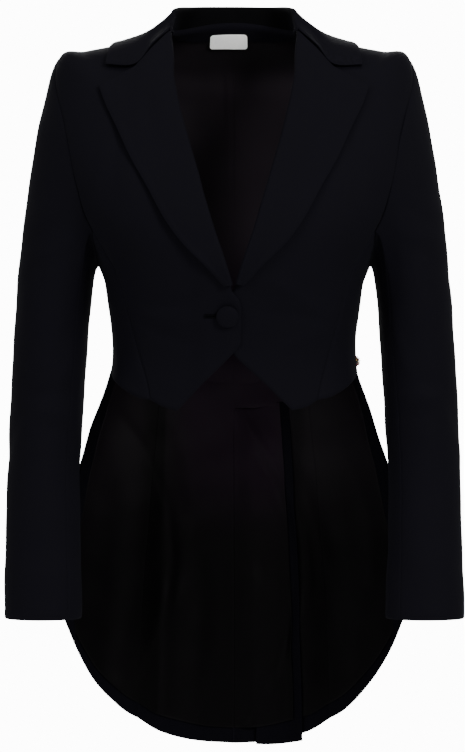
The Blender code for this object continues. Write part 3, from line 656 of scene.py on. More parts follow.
def wool_twill(settings, name="black_wool_twill", nap_and_shade=1.0, stand=False):
    """Black twill; the third argument is how far its nap catches light, and below 1 it also darkens the
    colour as painted shade; stand paints shade on the inside of the collar.
    """
    finish = Finish(name, Specular_IOR_Level=0.034 * nap_and_shade, Sheen_Weight=settings.nap * nap_and_shade,
                    Sheen_Roughness=0.42, Sheen_Tint=(0.72, 0.76, 0.92, 1))
    # Painted shade: below 1 the third argument darkens the cloth's colour; the lower sheen above is the
    # duller wrong side of the cloth.
    cloth = dyed(settings.cloth_colour, 0.35 + 0.65 * nap_and_shade)
    grain, body = finish.threads(), finish.body()
    twill = finish.bands(finish.turned(grain, 27), settings.twill_pitch, 0.6)
    yarn = finish.bands(finish.turned(grain, 90), settings.twill_pitch * 0.8, 1.2)
    nap = finish.noise(grain, 1500, 3.0, 0.62)
    cloud = finish.noise(body, 16, 3.0, 0.55)
    worn = twill * 0.4 + nap * 0.4 + cloud * 0.35
    colour = finish.mixed(worn, dyed(cloth, 0.7), dyed(cloth, 1.5))
    # Painted shade: the collar's inside, up to about 3 cm from its neck seam and within about 6 cm of centre
    # back, is darkened to a fifth of the cloth.
    if stand:
        rise, across = finish.split(grain, 0), finish.split(body, 0)
        inner = (1 - finish.ramped(rise, 0.026, 0.036)) * (1 - finish.ramped(abs(across), 0.058, 0.068))
        colour = finish.mixed(inner, colour, dyed(cloth, 0.2))
    finish.colour(colour)
    finish.roughness(0.74 + nap * 0.14 + cloud * 0.06)
    finish.shape(twill * 0.5 + yarn * 0.2 + nap * 0.6, 0.00022, 0.55)
    return finish.material


def satin_lining(settings):
    """Aubergine satin with painted light and shade set by place: metres across and up in the body's frame."""
    finish = Finish("aubergine_satin", Specular_IOR_Level=0.03, Sheen_Weight=0.001, Sheen_Roughness=0.3,
                    Sheen_Tint=(0.7, 0.6, 0.9, 1))
    silk = tuple(settings.lining_colour)
    grain, body = finish.threads(), finish.body()
    floats = finish.bands(grain, 0.0007, 0.4)
    cloud = finish.noise(body, 9, 2.0, 0.5)
    slub = finish.noise(grain, 260, 2.0, 0.6)
    across, height = finish.split(body, 0), finish.split(body, 2)
    ripple = cloud * 0.7 + floats * 0.2
    grey = tuple(0.65 * sum(silk) / 3 + 0.35 * c for c in silk)

    # Painted light: share is how bright the place is painted; the ripple between its ends is the satin's own
    # uneven tone.
    def painted_light_tone(colour, share):
        return finish.mixed(ripple, dyed(colour, share * 0.45), dyed(colour, share))

    # Purple at the middle, grey to the sides, both painted brighter as lit on the upper tails.
    middle = finish.mixed(finish.ramped(abs(across), 0.04, 0.08), painted_light_tone(silk, 2.5), painted_light_tone(grey, 2.4))
    # Painted shade: the lower tails are darker.
    tails = finish.mixed(finish.ramped(height, -0.58, -0.40), painted_light_tone(grey, 0.45), middle)
    # Painted shadows beside the fold at the right side-back seam and beside the vent's edge.
    lean = across - (height + 0.43) * 0.03
    painted_fold_shadow = finish.between(lean, (-0.110, -0.088), (-0.080, -0.074)) * 0.75
    painted_vent_shadow = finish.between(across, (0.058, 0.066), (0.070, 0.086)) * 0.6
    tails = finish.mixed(painted_fold_shadow + painted_vent_shadow, tails, dyed(grey, 0.12))
    # Painted light: the wearer's left of the upper lining is much brighter than the right, as the light
    # falls.
    high = finish.mixed(finish.ramped(across, -0.04, 0.05), painted_light_tone(grey, 3.7), painted_light_tone(grey, 15.0))
    # Near the neck the painted brightness is the same on both sides.
    high = finish.mixed(finish.ramped(height, -0.06, -0.02), high, painted_light_tone(grey, 2.8))
    # Painted light above the waist, fading into the tails' painted shade below.
    finish.colour(finish.mixed(finish.ramped(height, -0.30, -0.20), tails, high))
    finish.roughness(0.34 + slub * 0.12)
    finish.shape(floats * 0.25 + slub * 0.5 + cloud * 0.6, 0.0005, 0.35)
    return finish.material


def label_satin(settings):
    finish = Finish("white_label_satin", Specular_IOR_Level=0.4, Sheen_Weight=0.1)
    white = tuple(settings.label_colour)
    grain = finish.threads()
    rib = finish.bands(grain, 0.0008)
    weft = finish.bands(finish.turned(grain, 90), 0.0008)
    slub = finish.noise(grain, 380, 2.0)
    finish.colour(finish.mixed(rib * 0.3 + slub * 0.5, dyed(white, 0.86), dyed(white, 1.08)))
    finish.roughness(0.42 + slub * 0.2)
    finish.shape(rib * 0.5 + weft * 0.5, 0.0002, 0.5)
    return finish.material


def sewing_thread(name, colour):
    finish = Finish(name, Specular_IOR_Level=0.03)
    ply = finish.noise(finish.body(), 2600, 2.0)
    finish.colour(finish.mixed(ply, dyed(colour, 0.6), dyed(colour, 1.4)))
    finish.roughness(0.7 + ply * 0.2)
    finish.shape(ply, 0.0001, 0.6)
    return finish.material


def worn_gilt(settings):
    finish = Finish("worn_gilt", Metallic=1.0)
    gold = tuple(settings.gilt_colour)
    tarnish = finish.noise(finish.body(), 900, 4.0, 0.65)
    finish.colour(finish.mixed(tarnish, dyed(gold, 1.25), dyed(gold, 0.22)))
    finish.roughness(0.22 + tarnish * 0.35)
    finish.shape(tarnish, 0.0002, 0.5)
    return finish.material


def dark_glass(name, colour):
    finish = Finish(name, Specular_IOR_Level=0.7, Coat_Weight=0.6)
    cloud = finish.noise(finish.body(), 700, 2.0)
    finish.colour(finish.mixed(cloud, dyed(colour, 0.5), dyed(colour, 1.6)))
    finish.roughness(0.12 + cloud * 0.12)
    return finish.material


LOOKS = {}


def look(name):
    """The shared material of that name, made the first time it is asked for."""
    settings = bpy.context.scene.tailcoat_blazer
    makers = {
        "wool": lambda: wool_twill(settings),
        # Inner faces: the wrong side's duller sheen, with painted shade darkening the colour.
        "wool_inside_shaded": lambda: wool_twill(settings, "black_wool_inside_shaded", 0.5),
        # The collar: wool with painted shade inside its stand.
        "wool_collar_shaded": lambda: wool_twill(settings, "black_wool_collar_shaded", 1.0, True),
        "satin": lambda: satin_lining(settings),
        "label": lambda: label_satin(settings),
        "black_thread": lambda: sewing_thread("black_thread", (0.0010, 0.0010, 0.0016)),
        "gilt": lambda: worn_gilt(settings),
        "jet": lambda: dark_glass("jet_bead", (0.008, 0.008, 0.010)),
        "garnet": lambda: dark_glass("garnet_bead", (0.16, 0.01, 0.012)),
    }
    if name not in LOOKS:
        LOOKS[name] = makers[name]()
    return LOOKS[name]


def creased(a, b, rows):
    """How far the soft creases of a table raise the cloth at places (a, b)."""
    total = np.zeros(np.shape(a))
    for x, z, lean, half_length, half_width, height in rows:
        tilt = math.radians(lean)
        along = (a - x) * math.sin(tilt) + (b - z) * math.cos(tilt)
        across = (a - x) * math.cos(tilt) - (b - z) * math.sin(tilt) + along * along * CREASE_BEND
        total = total + height * np.exp(-(along / half_length) ** 2 - (across / half_width) ** 2)
    return total * bpy.context.scene.tailcoat_blazer.crease_depth


def uneven(points, reach, height, seed=3):
    """The slow unevenness of cloth that was pressed by hand."""
    source = np.random.default_rng(seed)
    total = np.zeros(points.shape[:-1])
    for _ in range(WAVES):
        towards = unit(source.normal(size=3))
        wave = reach * source.uniform(0.7, 1.6)
        total += np.sin(points @ towards * 2 * math.pi / wave + source.uniform(0, 2 * math.pi))
    return total * height / USUAL_SUM


def with_edge_lines(grid):
    """The grid with one more line close to each border, for the roll of a seam."""
    for axis in (0, 1):
        lines = np.moveaxis(grid, axis, 0)
        near, far = lines[0] * 0.7 + lines[1] * 0.3, lines[-1] * 0.7 + lines[-2] * 0.3
        lines = np.concatenate([lines[:1], near[None], lines[1:-1], far[None], lines[-1:]])
        grid = np.moveaxis(lines, 0, axis)
    return grid


def eased_out(grid, by):
    """The grid with its borders moved outward, so that pieces meet at their seams."""
    for axis in (0, 1):
        lines = np.moveaxis(grid, axis, 0).copy()
        first, last = unit(lines[0] - lines[1]), unit(lines[-1] - lines[-2])
        lines[0] += first * by
        lines[-1] += last * by
        grid = np.moveaxis(lines, 0, axis)
    return grid


def border_share(shape):
    """1 on the border, a third on the next line, 0 inside."""
    share = np.zeros(shape)
    share[1, 1:-1] = share[-2, 1:-1] = share[1:-1, 1] = share[1:-1, -2] = 0.3
    share[0], share[-1], share[:, 0], share[:, -1] = 1, 1, 1, 1
    return share


def grid_normals(points, inside):
    """Unit normals of a grid that point away from the inside, and whether the grid was turned for it."""
    across, down = np.gradient(points, axis=1), np.gradient(points, axis=0)
    normals = unit(np.cross(across, down))
    outward = (normals * (points - inside)).sum(-1).mean() > 0
    return (normals if outward else -normals), outward


def steps_along(points, axis):
    lengths = np.linalg.norm(np.diff(points, axis=axis), axis=-1)
    return np.concatenate([np.zeros_like(np.take(lengths, [0], axis)), np.cumsum(lengths, axis)], axis)


def finished(mesh, looks):
    for name in looks:
        mesh.materials.append(look(name))
    mesh.shade_smooth()
    return mesh


def grid_mesh(name, points, outward, looks):
    """A mesh of quads from a grid in millimetres, with the grain of the cloth as its UV map."""
    rows, columns = points.shape[:2]
    mesh = bpy.data.meshes.new(name)
    at = np.arange(rows * columns).reshape(rows, columns)
    quads = np.stack([at[:-1, :-1], at[:-1, 1:], at[1:, 1:], at[1:, :-1]], -1).reshape(-1, 4)
    if not outward:
        quads = quads[:, ::-1]
    mesh.from_pydata((points.reshape(-1, 3) * MM).tolist(), [], quads.tolist())
    grain = np.stack([steps_along(points, 1), steps_along(points, 0)], -1).reshape(-1, 2) * MM
    layer = mesh.uv_layers.new(name="grain")
    layer.data.foreach_set("uv", grain[quads.reshape(-1)].astype(np.float32).ravel())
    return finished(mesh, looks)


def shown(name, data):
    made = bpy.data.objects.new(name, data)
    bpy.context.scene.collection.objects.link(made)
    return made


def flat_area(points):
    """Area in square metres of the flat cloth that a grid was sewn from."""
    edges = points[1:, 1:] - points[:-1, :-1], points[1:, :-1] - points[:-1, 1:]
    area = np.linalg.norm(np.cross(*edges), axis=-1).sum() / 2
    return area * MM * MM


def sew(name, points, wall, looks, inside=(0, 10, None), raised=None, roll=1.0, bevel=0.45):
    """One piece of cloth from a grid of mid-wall points: walled, edged and fixed over its CAD node."""
    points = with_edge_lines(eased_out(points, SEAM_GAP / 2))
    centre = points.mean((0, 1))
    inside = np.array([centre[k] if value is None else value for k, value in enumerate(inside)])
    normals, outward = grid_normals(points, inside)
    height = -roll * border_share(points.shape[:2])
    if raised:
        height = height + raised(points)
    points = points + normals * height[..., None]
    made = shown(f"cloth_{name}", grid_mesh(f"cloth_{name}", points, outward, looks))
    walled = made.modifiers.new("wall", "SOLIDIFY")
    walled.thickness = wall * MM
    walled.offset = 0
    walled.material_offset = len(looks) - 1
    eased = made.modifiers.new("edge", "BEVEL")
    eased.width = bevel * MM
    eased.segments = 2
    eased.limit_method = "ANGLE"
    eased.angle_limit = math.radians(60)
    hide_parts(name)
    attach(made, "root")
    cut = CUTS[name.removesuffix("_right").removesuffix("_left")]
    min(flat_area(points), cut[0] * cut[1])


def line(name, points, raised, roll):
    """One piece of the satin lining."""
    sew(name, points, LINING_WALL, ("satin",), raised=raised, roll=roll)


def front_relief(points):
    return creased(points[..., 0], points[..., 2], FRONT_CREASES) + uneven(points, 70, 0.5)


def back_relief(points):
    """Creases of the back and the tails, shared by the panels and all that lies inside them."""
    x, z = points[..., 0], points[..., 2]
    tails = creased(x, z, TAIL_CREASES) * smoothstep(-400, -450, z)
    return tails + creased(x, z, BACK_CREASES) * smoothstep(-420, -380, z) + uneven(points, 80, 0.6)


def build_panels(side):
    """The four outer panels of one side."""
    word, pattern, mid = WORDS[side], PATTERNS[side], -CLOTH_WALL / 2
    for name, grid, front in (("front", pattern.front(), True), ("side_front", pattern.side_front(), False)):
        sew(f"{name}_{word}", placed(grid, side, mid, front), CLOTH_WALL, ("wool", "satin"),
            raised=front_relief, roll=FRONT_SEAM_ROLL)
    for name, grid in (("side_back", pattern.side_back()), ("back", pattern.back())):
        # The inner faces of the back panels take the wool with painted shade.
        sew(f"{name}_{word}", placed(grid, side, mid), CLOTH_WALL, ("wool", "wool_inside_shaded"),
            raised=back_relief)


def lining_relief(points):
    """Soft folds of the lining: it follows the cloth, and hangs a little looser on its inside."""
    return back_relief(points) - 0.75 + uneven(points, 46, 0.35, 8)


def facing_relief(points):
    return back_relief(points) - 0.5


def vent_sink(points, top, beside):
    """How far the vent sinks back into the tail's lining along its top and along centre back."""
    over = top * smoothstep(-452, -418, points[..., 2])
    return np.maximum(over, beside * (1 - smoothstep(1, 24, points[..., 0])))


def vent_relief(points):
    return back_relief(points) - 1.2 + vent_sink(points, 1.6, 0)


def vent_cover_relief(points):
    return lining_relief(points) - 1.2 + vent_sink(points, 2.5, 4.8)


def tail_lining_relief(points):
    """The tail's lining swells over the vent's top edge and lies flat under its cover."""
    x, z = points[..., 0], points[..., 2]
    swell = np.exp(-((z - VENT_TOP_Z) / np.where(z > VENT_TOP_Z, 24, 6)) ** 2)
    swell = swell * smoothstep(1, 24, x) * (1 - smoothstep(46, 56, x))
    under = smoothstep(-425, -450, z) * smoothstep(-1, 1, x) * (1 - smoothstep(44, 56, x))
    return lining_relief(points) - 2.5 * swell + 0.9 * under


def build_linings(side):
    """The back's lining to the waist, then the tail's two linings and its wool facing."""
    word, pattern = WORDS[side], PATTERNS[side]
    lift = -(CLOTH_WALL + SEAM_GAP + LINING_WALL / 2)
    facing = -(CLOTH_WALL + SEAM_GAP + CLOTH_WALL / 4)
    waist_row, back = (ARMHOLE_CELLS + BODICE_CELLS) * FINE, pattern.back()

    def upper_relief(points):
        fold = 0.6 * (1 - smoothstep(0, 9, steps_along(points, 0)))
        if side < 0:
            x, z = points[..., 0], points[..., 2]
            pleat = 1.1 * smoothstep(-10.0, -8.2, x) * smoothstep(-215, -150, z)
            fold = fold - pleat * (1 - smoothstep(-46, -26, z))
        return fold + lining_relief(points)

    upper = placed(back, side, lift - LINING_EASE)[: waist_row + 1]
    line(f"lining_back_{word}", upper, upper_relief, 0.2)
    tail = placed(back, side, lift)[waist_row:-FINE]
    line(f"lining_tail_back_{word}", tail, tail_lining_relief, -0.1)
    side_back = pattern.side_back()[BODICE_CELLS * FINE:]
    columns = FACING_COLUMN * FINE
    tail = placed(side_back, side, lift)[:-FINE, : columns + 1]
    line(f"lining_tail_side_{word}", tail, lining_relief, -0.3)
    strip = placed(side_back, side, facing)[:, columns:]
    # The facing's wool carries painted shade.
    sew(f"tail_facing_{word}", strip, CLOTH_WALL / 2, ("wool_inside_shaded",), raised=facing_relief,
        roll=-0.2)


def on_cells(grid, row, column):
    """Points on a fine grid at places counted in the pattern's cells."""
    row, column = np.broadcast_arrays(np.asarray(row, float) * FINE, np.asarray(column, float) * FINE)
    i, j = np.minimum(row.astype(int), grid.shape[0] - 2), np.minimum(column.astype(int), grid.shape[1] - 2)
    down, across = (row - i)[..., None], (column - j)[..., None]
    upper = grid[i, j] * (1 - across) + grid[i, j + 1] * across
    lower = grid[i + 1, j] * (1 - across) + grid[i + 1, j + 1] * across
    return upper * (1 - down) + lower * down


def back_neck(rows, columns, lift):
    """Points inside the back neck; columns are cells from centre back, below zero on the right."""
    right, left = (on_cells(placed(PATTERNS[side].back()[: 2 * FINE], side, lift), rows, np.abs(columns))
                   for side in (-1, 1))
    return np.where(columns[..., None] < 0, right, left)


def rounded(across, down, corner_across, corner_down):
    """Moves the corners of a unit square onto quarter circles; across and down run from -1 to 1."""
    over_a = np.clip((np.abs(across) - 1 + corner_across) / corner_across, 0, 1)
    over_d = np.clip((np.abs(down) - 1 + corner_down) / corner_down, 0, 1)
    pull_a = over_a * (1 - np.sqrt(1 - over_d ** 2 / 2)) * corner_across
    pull_d = over_d * (1 - np.sqrt(1 - over_a ** 2 / 2)) * corner_down
    return across - np.sign(across) * pull_a, down - np.sign(down) * pull_d


def thread(name, runs, radius, look_name):
    """Stitches as one curve piece; each run is a list of points in millimetres."""
    curve = bpy.data.curves.new(name, "CURVE")
    curve.dimensions = "3D"
    curve.bevel_depth = radius * MM
    curve.bevel_resolution = 2
    curve.use_fill_caps = True
    curve.resolution_u = 4
    for points in runs:
        spline = curve.splines.new("NURBS")
        spline.points.add(len(points) - 1)
        for place, point in zip(spline.points, points):
            place.co = (*(np.asarray(point) * MM), 1)
        spline.order_u = min(3, len(points))
        spline.use_endpoint_u = True
    curve.materials.append(look(look_name))
    made = shown(name, curve)
    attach(made, "root")


def build_neck_trim():
    """The self-cloth facing inside the back neck, and the blank label on it."""
    facing_lift = -(CLOTH_WALL + 2 * SEAM_GAP + LINING_WALL * 1.5 + LINING_EASE)
    label_lift = facing_lift - LINING_WALL / 2 - 2 * SEAM_GAP - LABEL_WALL / 2
    columns = np.linspace(-NECK_CELLS, NECK_CELLS, 2 * NECK_CELLS * FINE + 1)
    facing = back_neck(np.linspace(0, NECK_FACING_SHARE, 7)[:, None], columns[None], facing_lift)
    stands = [facing[:1] + np.array([0, 0, rise]) for rise in (4.6, 2.4)]
    facing = np.concatenate([*stands, facing])
    sew("neck_facing", facing, LINING_WALL, ("wool",), inside=(0, -200, 0), roll=0.1,
        raised=lambda p: back_relief(p) - 1.2)
    down, across = np.meshgrid(np.linspace(-1, 1, 19), np.linspace(-1, 1, 41), indexing="ij")
    across, down = rounded(across, down, 0.13, 0.32)
    middle, half = (LABEL["left"] - LABEL["right"]) / 2, (LABEL["left"] + LABEL["right"]) / 2
    top, bottom = LABEL["top"], LABEL["bottom"]
    rows = (top + bottom) / 2 + (bottom - top) / 2 * down
    points = back_neck(rows, middle + half * across, label_lift)
    sew("label", points, LABEL_WALL, ("label",), inside=(0, 200, 0), roll=0.1, bevel=0.15,
        raised=lambda p: 1.4 - back_relief(p))


def build_vent():
    """The right back's extension inside the left back, with the lining that covers it."""
    first_row = (ARMHOLE_CELLS + BODICE_CELLS + 1) * FINE
    under = -(CLOTH_WALL + SEAM_GAP + LINING_WALL + SEAM_GAP + CLOTH_WALL / 2)
    back, columns = PATTERNS[1].back(), VENT_COLUMNS * FINE
    strip = placed(back, 1, under)[first_row:, : columns + 1]
    fall = np.clip(np.arange(len(strip)) - (len(strip) - 1 - FINE), 0, FINE) / FINE
    strip[..., 2] -= VENT_DROP * fall[:, None] * (np.arange(columns + 1) / columns)[None]
    # The underlap's wool carries painted shade.
    sew("vent_underlap", strip[:, 2 * FINE:], CLOTH_WALL, ("wool_inside_shaded",),
        raised=vent_relief, roll=0.0)
    inner = under - CLOTH_WALL / 2 - SEAM_GAP - LINING_WALL / 2
    cover = placed(back, 1, inner)[first_row:-FINE, : columns - FINE + 1]
    line("lining_vent", cover, vent_cover_relief, -0.3)


def edge_ridge(points, axis, width=3.6, height=0.55):
    """The thicker band along the last line of an axis, where the seam allowance is turned in."""
    run = steps_along(points, axis)
    distance = np.take(run, [-1], axis) - run
    return height * np.exp(-((distance - width) / (width * 0.75)) ** 2)


def build_lapel(side):
    """The lapel: it leaves the front's edge, turns over the roll and lies on the front."""
    turns = np.radians(np.linspace(-90, 90, 13))[:, None]
    shares = np.linspace(0.07, 1, 27)
    centre, top = ROLL_RADIUS - CLOTH_WALL / 2, 2 * ROLL_RADIUS - CLOTH_WALL / 2
    rows = []
    for i in range(LAPEL_CELLS + 1):
        roll_x, roll_z, edge_x, edge_z, edge_lift = LAPEL_ROWS[i]

        def point(share, lift):
            x, z = roll_x + (edge_x - roll_x) * share, roll_z + (edge_z - roll_z) * share
            if i == 0:
                stops = (0, NOTCH_SHARE / 2, NOTCH_SHARE, 1)
                x = np.interp(share, stops, (roll_x, GORGE_MIDDLE[0], GORGE_END[0], edge_x))
                z = np.interp(share, stops, (roll_z, GORGE_MIDDLE[1], GORGE_END[1], edge_z))
            place = spot(x, z)
            return form(place[..., 0], place[..., 1], side, lift + overlap_lift(x, z, side))

        base = point(np.zeros(1), 0)[0]
        outward = unit(base - point(np.full(1, 0.2), 0)[0])
        normal = unit(point(np.zeros(1), 1)[0] - base)
        turned = base + outward * ROLL_RADIUS * np.cos(turns)
        turned = turned + normal * (centre + ROLL_RADIUS * np.sin(turns))
        flat = point(shares, top + (edge_lift - top) * smoothstep(0, 1, shares))
        rows.append(np.concatenate([turned, flat]))
    points = rows_at(np.array(rows), np.linspace(0, LAPEL_CELLS, LAPEL_CELLS * FINE + 1))

    def relief(p):
        return edge_ridge(p, 1) + uneven(p, 60, 0.35, 5)

    sew(f"lapel_{WORDS[side]}", points, CLOTH_WALL, ("wool",), raised=relief, roll=0.1,
        bevel=0.7)


def build_collar():
    """The collar: its stand rises from the neck seam, turns over and falls to meet the lapels."""
    ends = {}
    for key in ("low", "edge"):
        x, z, lift = COLLAR_FRONT_SIDE[key]
        between = (*spots([(x, z)])[0], lift)
        x, z, lift = COLLAR_FRONT[key]
        ends[key] = COLLAR_BACK_RINGS[key] + (between, (*spots([(x, z)])[0], lift))
    x, z, lift = COLLAR_FRONT["mid"]
    mid_end = form(*spots([(x, z)])[0], 1, lift)
    station = np.abs(np.linspace(-4, 4, 2 * COLLAR_CELLS * FINE + 1))
    seam_turn = rows_at([(turn,) for turn in COLLAR_SEAM_TURNS], station)[..., 0]
    seam = form(seam_turn, np.zeros(len(station)), 1, -COLLAR_SEAM_DEPTH) + np.array([0, 0, 2.0])
    roll = rows_at(COLLAR_ROLL, station)
    mid = rows_at(np.array(COLLAR_MID + (tuple(mid_end),)), station)
    height = (1 - 0.55 * smoothstep(2, 4, station))[:, None]
    out = unit(roll * np.array([1, 1, 0]))
    up = np.array([0, 0, 1])
    inside = roll - out * 2.6 * height - up * 5 * height
    outside = roll + out * 3.0 * height - up * 3.6 * height
    flat = {key: rows_at(np.array(rows), station) for key, rows in ends.items()}
    low, edge = (form(flat[key][:, 0], flat[key][:, 1], 1, flat[key][:, 2]) for key in ("low", "edge"))
    guides = np.stack([seam, inside, roll, outside, mid, low, edge])
    counts = (8, 5, 5, 5, 10, 10)
    places = np.concatenate([g + np.arange(count) / count for g, count in enumerate(counts)] + [[6.0]])
    points = np.swapaxes(rows_at(guides, places), 0, 1)
    points[: COLLAR_CELLS * FINE, :, 0] *= -1

    def relief(p):
        ends_share = edge_ridge(p, 0) + edge_ridge(p[::-1], 0)[::-1]
        return np.maximum(edge_ridge(p, 1), ends_share) + uneven(p, 60, 0.3, 5)

    # The collar's wool has painted shade inside its stand.
    sew("collar", points, CLOTH_WALL, ("wool_collar_shaded",), inside=(0, 10, -400), raised=relief,
        roll=0.1, bevel=0.7)


def sleeve_ring(row, angles):
    """Points round a ring of the sleeve; 0 degrees is its outer side and 90 its front."""
    x, y, z, half_width, half_depth = np.moveaxis(np.asarray(row), -1, 0)
    lean = np.radians(angles)
    return np.stack([x + half_width * np.cos(lean), y - half_depth * np.sin(lean), z + 0 * lean], -1)


def sleeve_grid(pattern):
    """Rows from the armhole to the cuff, columns round the sleeve, and the angle of each column."""
    front = joined(pattern.armhole_front, pattern.armhole_side_front)
    back = joined(pattern.armhole_back, pattern.armhole_side_back)
    places = np.concatenate([front, back[-2:0:-1]])
    starts = form(places[:, 0], places[:, 1], 1, -CLOTH_WALL / 2)
    half = (ARMHOLE_CELLS + ARMHOLE_LOW_CELLS) * FINE
    steps = np.linalg.norm(np.roll(starts, -1, 0) - starts, axis=1)
    angles = []
    for k in (0, 1):
        lengths = np.concatenate([[0.0], np.cumsum(steps[k * half:(k + 1) * half])])
        angles.append(180 * k + 180 * lengths[:-1] / lengths[-1])
    angles = np.concatenate(angles)
    along = unit(np.roll(starts, -1, 0) - np.roll(starts, 1, 0))
    towards = unit(np.array([0, spots([ARMHOLE_MIDDLE])[0][1]]) - places)
    near = places + towards * 0.04
    inner = form(near[:, 0], near[:, 1], 1, -CLOTH_WALL / 2) - starts
    tangent = unit(inner - along * (inner * along).sum(-1, keepdims=True))
    under = ((1 - np.cos(np.radians(angles))) / 2)[:, None]
    leave = unit(tangent * (0.75 - 0.6 * under) + np.array([1, 0, 0]) * (0.25 + 0.6 * under))
    for _ in range(CAP_EASING):
        leave = unit(np.roll(leave, 1, 0) + 2 * leave + np.roll(leave, -1, 0))
    bend = np.arccos(np.clip((tangent * leave).sum(-1, keepdims=True), -1, 1))
    start = starts + leave * (SEAM_GAP * (0.6 + under) + CLOTH_WALL / 2 * np.tan(bend / 2))
    end = sleeve_ring(SLEEVE_ROWS[0], angles)
    down = unit(sleeve_ring(SLEEVE_ROWS[1], angles) - end)
    far = np.linalg.norm(end - start, axis=-1, keepdims=True)
    t = np.arange(CAP_CELLS * FINE) / (CAP_CELLS * FINE)
    t = (t * (0.55 + 0.45 * t))[:, None, None]
    cap = hermite(start, end, leave * (14 + 54 * (1 - under)), down * 0.83 * far, t)
    rows = rows_at(SLEEVE_ROWS, np.linspace(0, len(SLEEVE_ROWS) - 1, ARM_CELLS * FINE + 1))
    arm = sleeve_ring(rows[:, None], angles[None])
    return np.concatenate([cap, arm]), angles


def build_sleeves(side):
    """The two pieces of one sleeve, split along its front and back seams."""
    points, angles = sleeve_grid(PATTERNS[side])
    points = points * np.array([side, 1, 1])
    count = len(angles)
    front_seam = ARMHOLE_CELLS * FINE
    back_seam = (ARMHOLE_CELLS + 2 * ARMHOLE_LOW_CELLS + BACK_SEAM_STEP) * FINE
    spans = {"topsleeve": np.arange(back_seam, count + front_seam + 1) % count,
             "undersleeve": np.arange(front_seam, back_seam + 1)}
    for name, columns in spans.items():
        mine = angles[columns]
        mine = np.concatenate([mine[:1], mine[:1], mine[1:-1], mine[-1:], mine[-1:]])

        def relief(p, mine=mine):
            total = uneven(p, 64, 0.55, 4)
            for degrees, z, *crease in SLEEVE_CREASES:
                turn = (mine - (0 if side > 0 else 6) - degrees + 180) % 360 - 180
                total = total + creased(turn * 0.75, p[..., 2] - z - 7 * side, [(0, 0, *crease)])
            return total

        sew(f"{name}_{WORDS[side]}", points[:, columns], CLOTH_WALL, ("wool", "satin"),
            inside=(side * 205, 0, None), raised=relief, roll=0.9)


def turned_mesh(name, profile, steps, looks):
    """A mesh turned about Z from (radius, height) pairs, outer side from the top down."""
    shape = bmesh.new()
    corners = [shape.verts.new((radius * MM, 0, height * MM)) for radius, height in profile]
    edges = [shape.edges.new(pair) for pair in zip(corners, corners[1:])]
    bmesh.ops.spin(shape, geom=corners + edges, cent=(0, 0, 0), axis=(0, 0, 1), angle=2 * math.pi,
                   steps=steps, use_merge=True)
    bmesh.ops.remove_doubles(shape, verts=shape.verts, dist=1e-6)
    bmesh.ops.recalc_face_normals(shape, faces=shape.faces)
    mesh = bpy.data.meshes.new(name)
    shape.to_mesh(mesh)
    shape.free()
    layer = mesh.uv_layers.new(name="grain")
    for loop in mesh.loops:
        layer.data[loop.index].uv = mesh.vertices[loop.vertex_index].co.xy
    return finished(mesh, looks)


def fasten(made, place, side, lift):
    """Lays a piece on the form with its own Z along the form's normal, and fixes it there."""
    at = Vector(form(*place, side, lift))
    normal = (Vector(form(*place, side, lift + 1)) - at).normalized()
    made.location = at * MM
    made.rotation_mode = "QUATERNION"
    made.rotation_quaternion = normal.to_track_quat("Z", "Y")
    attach(made, "root")


def build_button():
    """The cloth-covered button: a domed face with cloth drawn over its rim."""
    radius, height = BUTTON["radius"], BUTTON["height"]
    profile = [(0, height)]
    for degrees in range(6, 79, 6):
        lean = math.radians(degrees)
        profile.append((radius * math.sin(lean), 1.6 + (height - 1.6) * math.cos(lean)))
    profile += [(radius, 1.8), (radius, 1.3), (radius - 0.5, 0.6), (radius - 1.4, 0.2), (radius - 4, 0),
                (0, 0)]
    made = shown("covered_button", turned_mesh("covered_button", profile, 64, ("wool",)))
    place = spots([(-BUTTON["x"], BUTTON["z"])])[0]
    fasten(made, place, -1, OVERLAP_LIFT + 4 * SEAM_GAP)
    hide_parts("button")


def over_front(x, z, lift):
    """A point on the over front at a height, x from centre towards the right."""
    place = spots([(-x, z)])[0]
    return form(*place, -1, lift + float(overlap_lift(-x, z, -1)))


def build_buttonhole():
    """A worked buttonhole: purl stitches along both lips and a bar at the outer end."""
    inner, outer, half, level = (BUTTONHOLE[key] for key in ("inner", "outer", "half_height", "z"))
    purl = ((0.25, 0.0), (0.35, 0.55), (1.1, 0.8), (half, 0.3), (half + 0.15, -0.2))
    bar = ((-half, -0.2), (-half, 0.6), (0, 0.9), (half, 0.6), (half, -0.2))
    runs = []
    for k in range(PURL_STITCHES + 1):
        x = inner + (outer - inner) * k / PURL_STITCHES
        for way in (-1, 1):
            runs.append([over_front(x, level + way * reach, lift) for reach, lift in purl])
    for k in range(BAR_STITCHES):
        x = outer - 0.1 - 0.32 * k
        runs.append([over_front(x, level + reach, lift) for reach, lift in bar])
    thread("worked_buttonhole", runs, 0.24, "black_thread")


def aim(tilt, around):
    """The direction that leans by tilt from Z, towards around."""
    return Vector((math.sin(tilt) * math.cos(around), math.sin(tilt) * math.sin(around), math.cos(tilt)))


